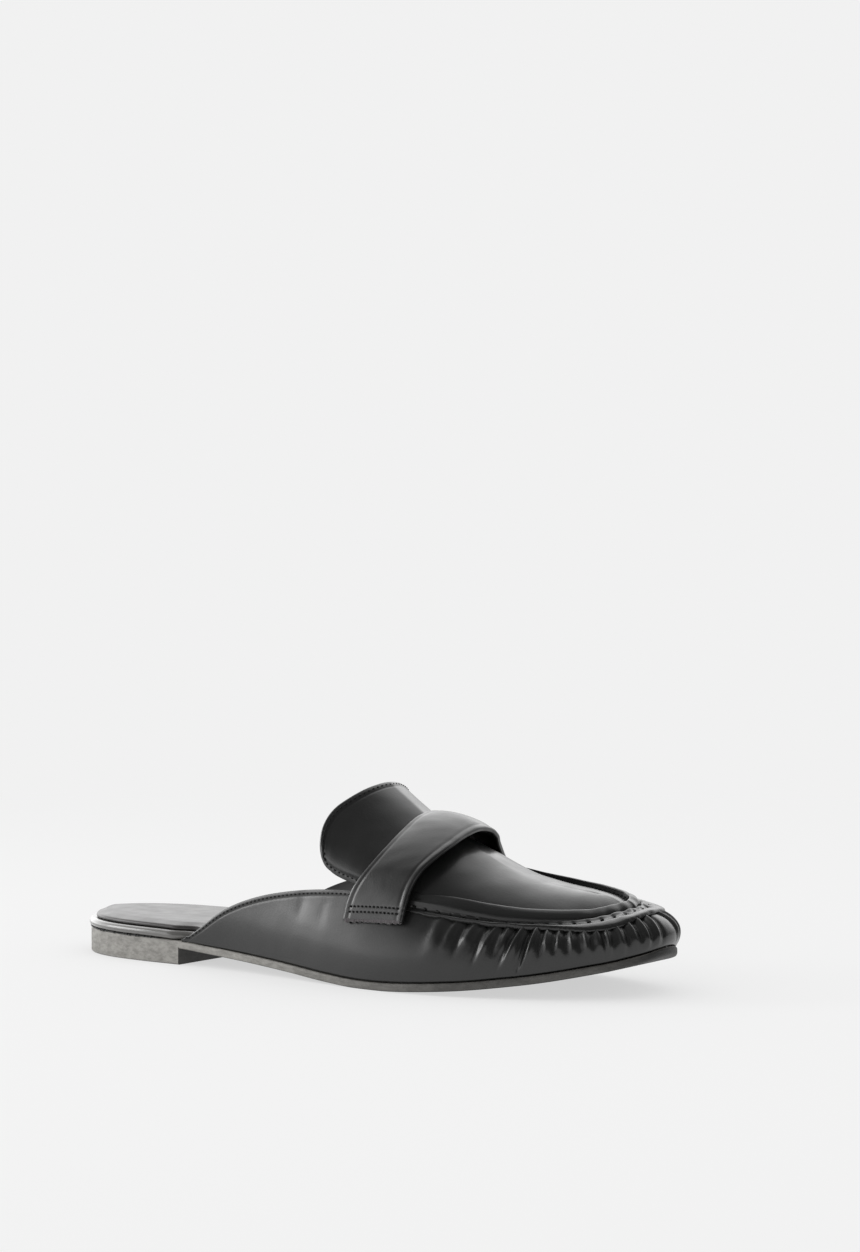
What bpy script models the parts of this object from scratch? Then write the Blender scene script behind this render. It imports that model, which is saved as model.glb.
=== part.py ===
"""A right loafer mule: flat rubber sole, gathered vamp with a raised apron seam, saddle strap.

Inside this file the shoe is drawn with the back of its heel at x = 0, the toe at +X, the
outer (lateral) side at -Y and the floor at z = 0. Everything hangs from one empty, which
moves the finished shoe so that the middle of its box stands over the origin.

Each table below gives shares: places along the shoe are shares of LENGTH, places across it
shares of BALL_WIDTH, and heights shares of the size that its comment names.
"""
import bmesh
import bpy
import numpy as np

# Driving dimensions, in metres
LENGTH = 0.262             # sole, heel back to toe tip
BALL_WIDTH = 0.084         # sole, across the ball
INSTEP_HEIGHT = 0.0726     # floor to the top of the tongue
HEEL_HEIGHT = 0.0101       # floor to the top of the heel block, at the back
HEEL_LENGTH = 0.0653       # heel back to the heel's front face
WAIST_RISE = 0.0062        # gap under the waist, at the heel's front face
TOE_SPRING = 0.015         # lift of the toe tip's underside
SOLE_THICKNESS = 0.003     # sole's edge along waist and forepart
SOLE_EDGE_ROUND = 0.0009   # rounding of the sole's lower edge
FOOTBED_THICKNESS = 0.0034
FOOTBED_OVERHANG = 0.0007  # rolled edge stands this far out over the heel
INSOLE_THICKNESS = 0.0014
INSOLE_CROWN = 0.0005
INSOLE_MARGIN = 0.0028     # rolled edge left bare round the insole
WALL = 0.0018              # leather and lining of the upper
FEATHER = 0.0006           # sole's edge stands this far outside the foot of the upper
STRAP_THICKNESS = 0.0016
SEAM_THICKNESS = 0.0012    # leather of the raised seam's outer band
SEAM_WIDTH = 0.006         # band, from the crest down to its raw edge
SEAM_RISE = 0.0019         # crest of the seam over the apron's rim
SEAM_CREST = 0.0018        # width of the folded crest
GAP = 0.0003               # clearance between pieces that touch

# Outline of the sole: along, lateral half, medial half
OUTLINE = np.array([
    (0.000, 0.000, 0.000), (0.015, 0.155, 0.149), (0.050, 0.271, 0.262), (0.100, 0.340, 0.326),
    (0.170, 0.371, 0.352), (0.250, 0.379, 0.340), (0.350, 0.393, 0.310), (0.450, 0.434, 0.304),
    (0.550, 0.488, 0.345), (0.630, 0.517, 0.405), (0.700, 0.512, 0.457), (0.760, 0.483, 0.479),
    (0.820, 0.429, 0.466), (0.880, 0.349, 0.420), (0.940, 0.232, 0.338), (0.980, 0.104, 0.236),
    (1.000, -0.065, 0.065),
])

# Underside of the sole's plate: along, share of the heel's height, of WAIST_RISE, of TOE_SPRING
PLATE_LINE = np.array([
    (0.000, 1.00, 0.00, 0.000), (0.120, 0.60, 0.40, 0.000), (0.249, 0.00, 1.00, 0.000),
    (0.320, 0.00, 0.80, 0.000), (0.400, 0.00, 0.58, 0.000), (0.480, 0.00, 0.34, 0.000),
    (0.540, 0.00, 0.14, 0.000), (0.600, 0.00, 0.00, 0.000), (0.650, 0.00, 0.00, 0.000),
    (0.710, 0.00, 0.00, 0.055), (0.780, 0.00, 0.00, 0.165), (0.830, 0.00, 0.00, 0.280),
    (0.870, 0.00, 0.00, 0.385), (0.924, 0.00, 0.00, 0.570), (0.966, 0.00, 0.00, 0.745),
    (0.989, 0.00, 0.00, 0.890), (1.000, 0.00, 0.00, 1.000),
])
WAIST_ENDS = 0.60          # share of LENGTH where the plate meets the floor

# Footbed: along, share of FOOTBED_THICKNESS, share of its inset inside the upper
FOOTBED_LINE = np.array([
    (0.00, 1.00, 0.0), (0.20, 1.00, 0.0), (0.235, 1.00, 0.0), (0.262, 1.00, 1.0),
    (0.30, 1.00, 1.0), (0.50, 0.70, 1.0), (1.00, 0.70, 1.0),
])

# Edges of footbed and insole, from below: how far the ring is drawn in, share of thickness
FOOTBED_EDGE = ((0.0014, 0.0), (0.0004, 0.15), (0.0, 0.45), (0.0003, 0.8), (0.0012, 1.0))
INSOLE_EDGE = ((0.0004, 0.0), (0.0, 0.4), (0.0006, 1.0))

# Side walls of the upper, a row for each section from the quarters' rear ends to the toe.
# sole_at: foot of the wall. rim_at: its top. lateral, medial: the rim's place across.
# high_lateral, high_medial: the rim's height, shares of INSTEP_HEIGHT. swell: outward
# fullness low down. shoulder: outward fullness under the rim. drop: how far below the rim
# the shoulder lies, a share of the wall's height.
WALL_COLUMNS = ("sole_at", "rim_at", "lateral", "medial", "high_lateral", "high_medial",
                "swell", "shoulder", "drop")
WALL_SECTIONS = np.array([
    (0.256, 0.259, 0.374, 0.340, 0.146, 0.146, 0.001, 0.000, 0.30),
    (0.286, 0.292, 0.381, 0.329, 0.221, 0.227, 0.006, 0.002, 0.30),
    (0.336, 0.343, 0.386, 0.322, 0.336, 0.351, 0.014, 0.006, 0.30),
    (0.401, 0.408, 0.395, 0.323, 0.417, 0.441, 0.019, 0.010, 0.30),
    (0.477, 0.485, 0.414, 0.335, 0.467, 0.504, 0.024, 0.012, 0.30),
    (0.553, 0.557, 0.436, 0.352, 0.488, 0.538, 0.024, 0.014, 0.30),
    (0.618, 0.612, 0.445, 0.345, 0.484, 0.556, 0.021, 0.020, 0.30),
    (0.695, 0.683, 0.436, 0.321, 0.444, 0.528, 0.019, 0.048, 0.28),
    (0.771, 0.750, 0.395, 0.321, 0.400, 0.480, 0.019, 0.085, 0.25),
    (0.840, 0.813, 0.321, 0.300, 0.366, 0.460, 0.026, 0.112, 0.18),
    (0.901, 0.868, 0.232, 0.255, 0.356, 0.446, 0.034, 0.132, 0.08),
    (0.950, 0.908, 0.130, 0.205, 0.368, 0.428, 0.040, 0.150, 0.00),
    (0.985, 0.930, 0.020, 0.145, 0.392, 0.414, 0.045, 0.166, -0.05),
    (1.000, 0.939, -0.070, 0.070, 0.405, 0.405, 0.047, 0.175, -0.08),
])
NOTCH = 6                  # row where quarter and tongue part, under the strap
TOE = len(WALL_SECTIONS) - 1
SWELL_HEIGHT = 0.45        # place of the low fullness, a share of the wall's height

# Middle line of the apron: wall row, along, across (medial positive), height, fullness.
# A fullness of 0.5 makes the half section an ellipse, 1 a parabola.
CROWN_SECTIONS = np.array([
    (6, 0.641, -0.048, 0.783, 0.61), (7, 0.706, -0.048, 0.690, 0.65), (8, 0.760, -0.024, 0.588, 0.75),
    (9, 0.805, 0.006, 0.536, 0.90), (10, 0.840, 0.030, 0.508, 0.95), (11, 0.865, 0.048, 0.492, 0.95),
    (12, 0.880, 0.058, 0.482, 0.95), (13, 0.886, 0.062, 0.478, 0.95),
])

# Lower edge of the tongue, from the notch back to its rear corner: way back, lateral, medial,
# high_lateral, high_medial
TONGUE_SIDE = np.array([
    (0.00, 0.445, 0.345, 0.484, 0.556), (0.18, 0.440, 0.343, 0.501, 0.573),
    (0.36, 0.435, 0.341, 0.516, 0.588), (0.55, 0.430, 0.339, 0.531, 0.601),
    (0.78, 0.424, 0.336, 0.560, 0.623), (0.94, 0.419, 0.333, 0.598, 0.652),
    (1.00, 0.417, 0.331, 0.632, 0.680),
])
# Rear edge of the tongue: way up from the rear corner to the middle, along
TONGUE_END = np.array([
    (0.00, 0.5250), (0.17, 0.5205), (0.34, 0.5200), (0.49, 0.5260), (0.61, 0.5362),
    (0.81, 0.5490), (1.00, 0.5550),
])
TONGUE_MIDDLE = -0.042     # rear end of the tongue's middle line, across
TONGUE_FULLNESS = 0.5      # fullness of its section there

# Saddle strap, outer face, from the lateral foot over the instep to the medial foot:
# way round, then the rear edge along, across, high, the front edge along, across, high, and
# the arch between them. Heights and arch are shares of INSTEP_HEIGHT.
STRAP_SECTIONS = np.array([
    (-1.00, 0.581, -0.499, 0.342, 0.685, -0.511, 0.354, 0.004),
    (-0.88, 0.584, -0.483, 0.427, 0.688, -0.498, 0.437, 0.004),
    (-0.77, 0.591, -0.468, 0.500, 0.691, -0.472, 0.515, 0.005),
    (-0.62, 0.606, -0.434, 0.595, 0.700, -0.430, 0.604, 0.008),
    (-0.45, 0.620, -0.352, 0.702, 0.710, -0.347, 0.674, 0.014),
    (-0.28, 0.624, -0.240, 0.782, 0.714, -0.235, 0.726, 0.022),
    (-0.13, 0.623, -0.130, 0.836, 0.713, -0.128, 0.762, 0.025),
    (0.00, 0.622, -0.020, 0.858, 0.712, -0.022, 0.782, 0.025),
    (0.13, 0.622, 0.080, 0.842, 0.710, 0.076, 0.772, 0.025),
    (0.28, 0.622, 0.172, 0.800, 0.706, 0.152, 0.734, 0.022),
    (0.45, 0.620, 0.256, 0.734, 0.699, 0.200, 0.690, 0.014),
    (0.62, 0.615, 0.342, 0.640, 0.690, 0.272, 0.632, 0.008),
    (0.77, 0.609, 0.378, 0.556, 0.682, 0.353, 0.562, 0.005),
    (0.88, 0.604, 0.391, 0.470, 0.680, 0.397, 0.482, 0.004),
    (1.00, 0.601, 0.402, 0.385, 0.680, 0.420, 0.392, 0.004),
])

# Rise of the seam along its rows: wall row, share of its full size
SEAM_ROWS = np.array([(6.85, 0.20), (7.2, 0.40), (7.8, 0.85), (8.6, 1.00), (13.0, 1.00)])

# Mesh density
OUTLINE_POINTS = 96
STEPS_PER_ROW = 3          # columns of the upper between two sections of its table
WALL_STEPS = 8
CROWN_STEPS = 8
TONGUE_STEPS = 6
STRAP_STEPS = 40
STRAP_COLUMNS = 6

COLOURS = {
    "outsole": ((0.045, 0.043, 0.039), 0.75),
    "footbed": ((0.020, 0.019, 0.018), 0.45),
    "insole": ((0.022, 0.021, 0.020), 0.50),
    "upper": ((0.012, 0.012, 0.012), 0.35),
    "apron_seam": ((0.012, 0.012, 0.012), 0.38),
    "saddle_strap": ((0.013, 0.013, 0.013), 0.35),
    "waist_cutter": ((0.5, 0.5, 0.5), 0.5),
}


def through(rows, at):
    """Smooth curves through a table's rows: first column the place, the rest the values.

    Cubic pieces join the rows, and the slope at a row comes from its two neighbours.
    """
    places = rows[:, 0]
    values = rows[:, 1:]
    slopes = np.gradient(values, places, axis=0)
    at = np.clip(np.asarray(at, float), places[0], places[-1])
    piece = np.clip(np.searchsorted(places, at, side="right") - 1, 0, len(places) - 2)
    span = places[piece + 1] - places[piece]
    t = ((at - places[piece]) / span)[..., None]
    span = span[..., None]
    start = values[piece] * (1 + 2 * t) + slopes[piece] * span * t
    end = values[piece + 1] * (3 - 2 * t) + slopes[piece + 1] * span * (t - 1)
    return start * (1 - t) ** 2 + end * t ** 2


def turn_at(share):
    """Place round the outline, 0 at the heel back and 1 at the toe tip, of a share of length."""
    return np.arccos(1 - 2 * np.clip(share, 0, 1)) / np.pi


def outline(turn):
    """Sole outline at turns 0 to 2: lateral side to the toe tip at 1, medial side back to 2."""
    lateral = np.column_stack((turn_at(OUTLINE[:, 0]), -OUTLINE[:, 1]))
    medial = np.column_stack((2 - turn_at(OUTLINE[:, 0]), OUTLINE[:, 2]))[::-1]
    one_round = np.vstack((lateral, medial[1:]))
    before = one_round[-4:-1] - (2, 0)
    after = one_round[1:4] + (2, 0)
    across = through(np.vstack((before, one_round, after)), np.mod(turn, 2))[..., 0]
    along = (1 - np.cos(np.pi * turn)) / 2
    return np.stack((along * LENGTH, across * BALL_WIDTH), axis=-1)


def outward(turn):
    """Unit vector in plan that points out of the outline."""
    step = 0.004
    ahead = outline(turn + step) - outline(turn - step)
    side = np.stack((ahead[..., 1], -ahead[..., 0]), axis=-1)
    return side / np.linalg.norm(side, axis=-1, keepdims=True)


def plate_under(x):
    """Height of the underside of the sole's plate, which the heel block hides at the back."""
    share = through(PLATE_LINE, x / LENGTH)
    return share @ np.array((HEEL_HEIGHT - SOLE_THICKNESS, WAIST_RISE, TOE_SPRING))


def sole_top(x):
    return plate_under(x) + SOLE_THICKNESS


def footbed_line(x):
    """Thickness of the footbed and its inset from the sole's outline, at a place along it."""
    share = through(FOOTBED_LINE, x / LENGTH)
    covered = np.clip(share[..., 1], 0, 1)
    inside = FEATHER + WALL + 4 * GAP
    return share[..., 0] * FOOTBED_THICKNESS, covered * inside - (1 - covered) * FOOTBED_OVERHANG


def wall_row(row, side):
    """Foot, rim, outward direction and fullness of the side wall at a table row."""
    numbered = np.column_stack((np.arange(TOE + 1), WALL_SECTIONS))
    cell = dict(zip(WALL_COLUMNS, np.moveaxis(through(numbered, row), -1, 0)))
    turn = turn_at(cell["sole_at"])
    turn = turn if side < 0 else 2 - turn
    out = outward(turn)
    foot = outline(turn) - out * FEATHER
    foot = np.column_stack((foot, sole_top(foot[:, 0]) + GAP))
    name = "lateral" if side < 0 else "medial"
    rim = np.column_stack((cell["rim_at"] * LENGTH, side * cell[name] * BALL_WIDTH,
                           cell["high_" + name] * INSTEP_HEIGHT))
    out = np.column_stack((out, np.zeros(len(out))))
    return foot, rim, out, cell


def wall_points(row, side, up):
    """Outer face of the side wall: a cubic curve from foot to rim for each row.

    Its second point swells outward low down and its third makes the shoulder under the rim.
    """
    foot, rim, out, cell = wall_row(row, side)
    height = (rim - foot)[:, 2:]
    rise = np.array((0.0, 0.0, 1.0))
    swell = foot + out * cell["swell"][:, None] * BALL_WIDTH + rise * height * SWELL_HEIGHT
    shoulder = rim + out * cell["shoulder"][:, None] * BALL_WIDTH
    shoulder = shoulder - rise * height * cell["drop"][:, None]
    t = np.asarray(up, float)[None, :, None]
    weights = ((1 - t) ** 3, 3 * t * (1 - t) ** 2, 3 * t ** 2 * (1 - t), t ** 3)
    return sum(w * p[:, None, :] for w, p in zip(weights, (foot, swell, shoulder, rim)))


def over_crown(edge, middle, fullness, inward):
    """Half section from an edge up to a middle line: part ellipse, part parabola."""
    way = 1 - np.cos(np.pi / 2 * np.asarray(inward, float))[None, :, None]
    lift = (1 - (1 - way[..., 0]) ** 2) ** fullness[:, None]
    points = edge[:, None, :] + (middle - edge)[:, None, :] * way
    points[..., 2] = edge[:, None, 2] + (middle - edge)[:, None, 2] * lift
    return points


def crown_points(row, side, inward):
    """Outer face of the apron, from the rim of the wall to the middle line."""
    rim = wall_row(row, side)[1]
    share = through(CROWN_SECTIONS, row)
    middle = share[:, :3] * (LENGTH, BALL_WIDTH, INSTEP_HEIGHT)
    return over_crown(rim, middle, share[:, 3], inward)


def tongue_points(back, side, inward):
    """Outer face of the tongue, from its lower edge to its middle line.

    back runs from 0 at the notch to 1 at the rear edge. The section is an ellipse, and the
    places along it lead from the apron's section at the notch to the rear edge's curve.
    """
    sides = through(TONGUE_SIDE, back)
    pick = (0, 2) if side < 0 else (1, 3)
    notch = crown_points(np.array([float(NOTCH)]), side, inward)[0]
    first = CROWN_SECTIONS[0]
    across = first[2] + (TONGUE_MIDDLE - first[2]) * back
    high = first[3] + (1 - first[3]) * back
    zero = np.zeros_like(back)
    edge = np.column_stack((zero, side * sides[:, pick[0]] * BALL_WIDTH,
                            sides[:, pick[1]] * INSTEP_HEIGHT))
    middle = np.column_stack((zero, across * BALL_WIDTH, high * INSTEP_HEIGHT))
    fullness = first[4] + (TONGUE_FULLNESS - first[4]) * back
    points = over_crown(edge, middle, fullness, inward)
    end = through(TONGUE_END, inward)[:, 0] * LENGTH
    points[..., 0] = notch[None, :, 0] + (end - notch[:, 0])[None, :] * back[:, None]
    return points


def material(name):
    colour, roughness = COLOURS[name]
    made = bpy.data.materials.new(name)
    made.use_nodes = True
    shader = made.node_tree.nodes["Principled BSDF"]
    shader.inputs["Base Color"].default_value = (*colour, 1.0)
    shader.inputs["Roughness"].default_value = roughness
    shader.inputs["Metallic"].default_value = 0.0
    return made


def add_object(name, points, faces, parent, collection):
    """Mesh object from points and faces, with doubles merged and faces turned outward."""
    mesh = bpy.data.meshes.new(name)
    mesh.from_pydata([tuple(p) for p in points], [], faces)
    shape = bmesh.new()
    shape.from_mesh(mesh)
    bmesh.ops.remove_doubles(shape, verts=shape.verts, dist=1e-6)
    bmesh.ops.recalc_face_normals(shape, faces=shape.faces)
    shape.to_mesh(mesh)
    shape.free()
    mesh.shade_smooth()
    mesh.set_sharp_from_angle(angle=np.radians(40))
    mesh.materials.append(material(name))
    made = bpy.data.objects.new(name, mesh)
    made.parent = parent
    collection.objects.link(made)
    return made


def grid_faces(rows, columns, offset=0, loop=False):
    """Quads of a grid whose points are numbered row by row; a loop joins its last column."""
    faces = []
    for i in range(rows - 1):
        for j in range(columns if loop else columns - 1):
            k = (j + 1) % columns
            faces.append((offset + i * columns + j, offset + i * columns + k,
                          offset + (i + 1) * columns + k, offset + (i + 1) * columns + j))
    return faces


def plate(name, rings, crown, parent, collection):
    """Solid of stacked rings round the outline, capped by rungs from side to side.

    Point i of a ring and point n - i lie across from each other. The upper cap bulges by
    crown along the middle.
    """
    count = rings.shape[1]
    points = [rings.reshape(-1, 3)]
    faces = grid_faces(len(rings), count, loop=True)
    half = count // 2
    rungs = 2 if crown == 0 else 7
    share = np.linspace(0, 1, rungs)[None, :, None]
    for ring, bulge in ((rings[0], 0.0), (rings[-1], crown)):
        lateral = ring[:half + 1]
        medial = np.roll(ring[::-1], 1, axis=0)[:half + 1]
        cap = lateral[:, None, :] * (1 - share) + medial[:, None, :] * share
        width = np.abs(medial - lateral)[:, 1] / BALL_WIDTH
        soft = np.minimum(1, 3 * width)[:, None]
        cap[..., 2] += bulge * soft * (1 - (2 * share[..., 0] - 1) ** 4)
        faces += grid_faces(half + 1, rungs, offset=sum(len(p) for p in points))
        points.append(cap.reshape(-1, 3))
    return add_object(name, np.vstack(points), faces, parent, collection)


def ring_at(turn, inset, height):
    """Ring round the sole's outline, moved inward, at heights that follow a function of x."""
    flat = outline(turn) - outward(turn) * np.broadcast_to(inset, turn.shape)[:, None]
    return np.column_stack((flat, height(flat[:, 0])))


def make_waist_cutter(parent, collection):
    """Closed block of the open space under the waist, wider than the sole and below its floor."""
    under_floor = 0.01
    places = np.linspace(HEEL_LENGTH, WAIST_ENDS * LENGTH, 15)
    roof = np.column_stack((places, plate_under(places)))
    roof[-1, 1] = -0.02 * under_floor
    base = np.column_stack((places[[-1, 0]], np.full(2, -under_floor)))
    profile = np.vstack((roof, base))
    count = len(profile)
    sides = [np.column_stack((profile[:, 0], np.full(count, y), profile[:, 1]))
             for y in (-BALL_WIDTH, BALL_WIDTH)]
    faces = grid_faces(2, count, loop=True)
    faces += [tuple(range(count)), tuple(range(count, 2 * count))]
    cutter = add_object("waist_cutter", np.vstack(sides), faces, parent, collection)
    cutter.hide_render = True
    cutter.display_type = "WIRE"
    return cutter


def make_outsole(turn, parent, collection, cutters):
    """Plate and heel in one moulding; the space under the waist is cut out of a full block."""
    def floor(x):
        behind = x < (WAIST_ENDS + 0.02) * LENGTH
        return np.where(behind, 0.0, np.maximum(plate_under(x), 0.0))

    rings = np.array([
        ring_at(turn, SOLE_EDGE_ROUND, floor),
        ring_at(turn, 0.0, lambda x: floor(x) + SOLE_EDGE_ROUND),
        ring_at(turn, 0.0, sole_top),
    ])
    sole = plate("outsole", rings, 0, parent, collection)
    cut = sole.modifiers.new("waist", "BOOLEAN")
    cut.operation = "DIFFERENCE"
    cut.object = make_waist_cutter(parent, cutters)
    return sole


def edge_rings(turn, edge, margin, lift, size):
    """Rings of a layer on the sole: edge gives how far each is drawn in and its level."""
    inset = footbed_line(outline(turn)[:, 0])[1] + margin
    rings = np.array([ring_at(turn, inset + tuck, sole_top) for tuck, _ in edge])
    for ring, (_, level) in zip(rings, edge):
        ring[:, 2] += lift + level * size
    return rings


def make_footbed(turn, parent, collection):
    """Board with a rolled edge, which shows behind the quarters and lies inside them."""
    thickness = footbed_line(outline(turn)[:, 0])[0]
    rings = edge_rings(turn, FOOTBED_EDGE, 0.0, GAP, thickness)
    return plate("footbed", rings, 0, parent, collection)


def make_insole(turn, parent, collection):
    """Thin crowned pad on the footbed, inside its rolled edge."""
    thickness = footbed_line(outline(turn)[:, 0])[0]
    rings = edge_rings(turn, INSOLE_EDGE, INSOLE_MARGIN, 2 * GAP + thickness, INSOLE_THICKNESS)
    return plate("insole", rings, INSOLE_CROWN, parent, collection)


def make_upper(parent, collection):
    """Quarters, vamp, apron and tongue as one open surface, given its wall by Solidify."""
    up = np.linspace(0, 1, WALL_STEPS + 1)
    inward = np.linspace(0, 1, CROWN_STEPS + 1)
    rows = np.linspace(0, TOE, TOE * STEPS_PER_ROW + 1)
    front = np.linspace(NOTCH, TOE, (TOE - NOTCH) * STEPS_PER_ROW + 1)
    back = np.linspace(1, 0, TONGUE_STEPS + 1)
    points, faces = [], []
    for side in (-1, 1):
        wall = wall_points(rows, side, up)
        crown = np.concatenate((tongue_points(back, side, inward)[:-1],
                                crown_points(front, side, inward)))
        for patch in (wall, crown):
            faces += grid_faces(*patch.shape[:2], offset=sum(len(p) for p in points))
            points.append(patch.reshape(-1, 3))
    shell = add_object("upper", np.vstack(points), faces, parent, collection)
    leather = shell.modifiers.new("leather", "SOLIDIFY")
    leather.thickness = WALL
    leather.offset = -1
    leather.use_even_offset = True
    return shell


def surface_normals(points, sign):
    """Unit normals of a grid of points, turned outward by sign."""
    along = np.gradient(points, axis=0)
    across = np.gradient(points, axis=1)
    normal = np.cross(along, across) * sign
    return normal / np.linalg.norm(normal, axis=-1, keepdims=True)


def seam_loops(rows, side):
    """Closed section of the raised seam at each row: outer band, folded crest, inner face."""
    size = through(SEAM_ROWS, rows)[:, :1]
    up = np.linspace(0.35, 1, 27)
    wall = wall_points(rows, side, up)
    normal = surface_normals(wall, -side)
    length = np.cumsum(np.linalg.norm(np.diff(wall[:, ::-1], axis=1), axis=2), axis=1)

    def on_wall(down, off):
        spot = np.argmin(np.abs(length - down), axis=1) + 1
        pick = (np.arange(len(rows)), len(up) - 1 - spot)
        return wall[pick] + normal[pick] * off

    rim, out = wall_row(rows, side)[1:3]
    rise = np.array((0.0, 0.0, 1.0))
    inner = crown_points(rows, side, np.linspace(0, 0.6, 31))
    inner_length = np.cumsum(np.linalg.norm(np.diff(inner, axis=1), axis=2), axis=1)
    spot = np.argmin(np.abs(inner_length - SEAM_CREST), axis=1) + 1
    apron = inner[np.arange(len(rows)), spot]
    band = GAP + SEAM_THICKNESS * np.sqrt(size)
    top = SEAM_RISE * size
    return np.stack((
        on_wall(SEAM_WIDTH, GAP),
        on_wall(SEAM_WIDTH, band),
        on_wall(SEAM_WIDTH * 0.5, band + 0.0001),
        rim + out * (band + 0.0002) + rise * (0.35 * top),
        rim + out * (band * 0.45) + rise * (top + GAP),
        apron + rise * (top * 0.9 + GAP) - out * 0.0001,
        apron + rise * (0.0006 + GAP) - out * 0.0003,
        apron + rise * (1.6 * GAP),
        rim + rise * (1.3 * GAP) + out * (0.3 * GAP),
        on_wall(SEAM_WIDTH * 0.5, GAP),
    ), axis=1)


def make_apron_seam(parent, collection):
    """Turned edge of the apron, carried along the rim from strap to toe to strap."""
    rows = np.linspace(SEAM_ROWS[0, 0], TOE, 21)
    lateral = seam_loops(rows, -1)
    medial = seam_loops(rows, 1)
    loops = np.concatenate((lateral, medial[-2::-1]))
    count = loops.shape[1]
    faces = grid_faces(len(loops), count, loop=True)
    last = (len(loops) - 1) * count
    faces += [tuple(range(count)), tuple(range(last, last + count))]
    return add_object("apron_seam", loops.reshape(-1, 3), faces, parent, collection)


def strap_points(way, over):
    """Outer face of the strap: straight from rear to front edge, raised by its arch."""
    share = through(STRAP_SECTIONS, way)
    size = np.array((LENGTH, BALL_WIDTH, INSTEP_HEIGHT))
    rear = share[:, None, 0:3] * size
    front = share[:, None, 3:6] * size
    arch = share[:, None, 6:7] * INSTEP_HEIGHT
    t = np.asarray(over, float)[None, :, None]
    return rear * (1 - t) + front * t + arch * 4 * t * (1 - t) * np.array((0.0, 0.0, 1.0))


def make_saddle_strap(parent, collection):
    way = np.linspace(-1, 1, STRAP_STEPS + 1)
    over = np.linspace(0, 1, STRAP_COLUMNS + 1)
    points = strap_points(way, over)
    faces = grid_faces(*points.shape[:2])
    strap = add_object("saddle_strap", points.reshape(-1, 3), faces, parent, collection)
    leather = strap.modifiers.new("leather", "SOLIDIFY")
    leather.thickness = STRAP_THICKNESS
    leather.offset = -1
    leather.use_even_offset = True
    return strap


def stand_over_origin(stand, collection):
    """Move the empty so that the middle of the shoe's box stands over the origin."""
    bpy.context.view_layer.update()
    graph = bpy.context.evaluated_depsgraph_get()
    corners = []
    for piece in collection.objects:
        if piece.type == "MESH":
            mesh = piece.evaluated_get(graph).to_mesh()
            corners += [piece.matrix_world @ v.co for v in mesh.vertices]
    corners = np.array(corners)
    middle = (corners.min(axis=0) + corners.max(axis=0)) / 2
    stand.location = (-middle[0], -middle[1], 0.0)


def main():
    for old in list(bpy.data.objects):
        bpy.data.objects.remove(old, do_unlink=True)
    mule = bpy.data.collections.new("loafer_mule")
    cutters = bpy.data.collections.new("cutters")
    for collection in (mule, cutters):
        bpy.context.scene.collection.children.link(collection)
    stand = bpy.data.objects.new("stand", None)
    mule.objects.link(stand)

    turn = np.arange(OUTLINE_POINTS) * 2 / OUTLINE_POINTS
    make_outsole(turn, stand, mule, cutters)
    make_footbed(turn, stand, mule)
    make_insole(turn, stand, mule)
    make_upper(stand, mule)
    make_apron_seam(stand, mule)
    make_saddle_strap(stand, mule)
    stand_over_origin(stand, mule)


main()
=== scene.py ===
"""Looks of a right loafer mule: each piece drawn finely over its CAD solid, with floor, light and camera.

The shoe is drawn in metres with the back of its heel at x = 0, the toe at +X and the outer
(lateral) side at -Y, then moved by Last.shift onto the frame. Tables give shares: places along
the shoe are shares of its length, places across of the ball's width, heights of the instep's.
"""
import logging
from collections.abc import Callable
from dataclasses import dataclass
from enum import Enum

import bmesh
import bpy
import numpy as np
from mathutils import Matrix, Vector


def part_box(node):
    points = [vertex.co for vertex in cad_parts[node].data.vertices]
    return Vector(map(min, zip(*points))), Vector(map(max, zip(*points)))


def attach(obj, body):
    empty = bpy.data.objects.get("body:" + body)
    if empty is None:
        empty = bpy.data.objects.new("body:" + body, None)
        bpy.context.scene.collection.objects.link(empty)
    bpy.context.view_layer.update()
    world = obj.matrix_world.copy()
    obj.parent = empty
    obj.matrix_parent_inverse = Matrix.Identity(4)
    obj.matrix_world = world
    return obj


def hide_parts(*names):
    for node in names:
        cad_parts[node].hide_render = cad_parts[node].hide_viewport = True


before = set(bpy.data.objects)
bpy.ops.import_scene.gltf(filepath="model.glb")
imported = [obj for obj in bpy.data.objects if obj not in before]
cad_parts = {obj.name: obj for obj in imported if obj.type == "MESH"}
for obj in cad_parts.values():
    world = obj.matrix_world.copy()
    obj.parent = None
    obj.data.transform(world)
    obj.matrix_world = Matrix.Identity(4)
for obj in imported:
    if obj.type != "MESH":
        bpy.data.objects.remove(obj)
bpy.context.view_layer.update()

logging.basicConfig(level=logging.INFO, format="%(message)s")
log = logging.getLogger("mule")

# Points and faces of a closed surface
Solid = tuple[np.ndarray, np.ndarray | list]
UP = np.array((0.0, 0.0, 1.0))

# Sole outline: along, lateral half, medial half
OUTLINE = np.array([
    (0.000, 0.000, 0.000), (0.015, 0.155, 0.149), (0.050, 0.271, 0.262), (0.100, 0.340, 0.326),
    (0.170, 0.371, 0.352), (0.250, 0.379, 0.340), (0.350, 0.393, 0.310), (0.450, 0.434, 0.304),
    (0.550, 0.488, 0.345), (0.630, 0.517, 0.405), (0.700, 0.512, 0.457), (0.760, 0.483, 0.479),
    (0.820, 0.429, 0.466), (0.880, 0.349, 0.420), (0.940, 0.232, 0.338), (0.980, 0.104, 0.236),
    (1.000, -0.065, 0.065),
])
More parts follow.
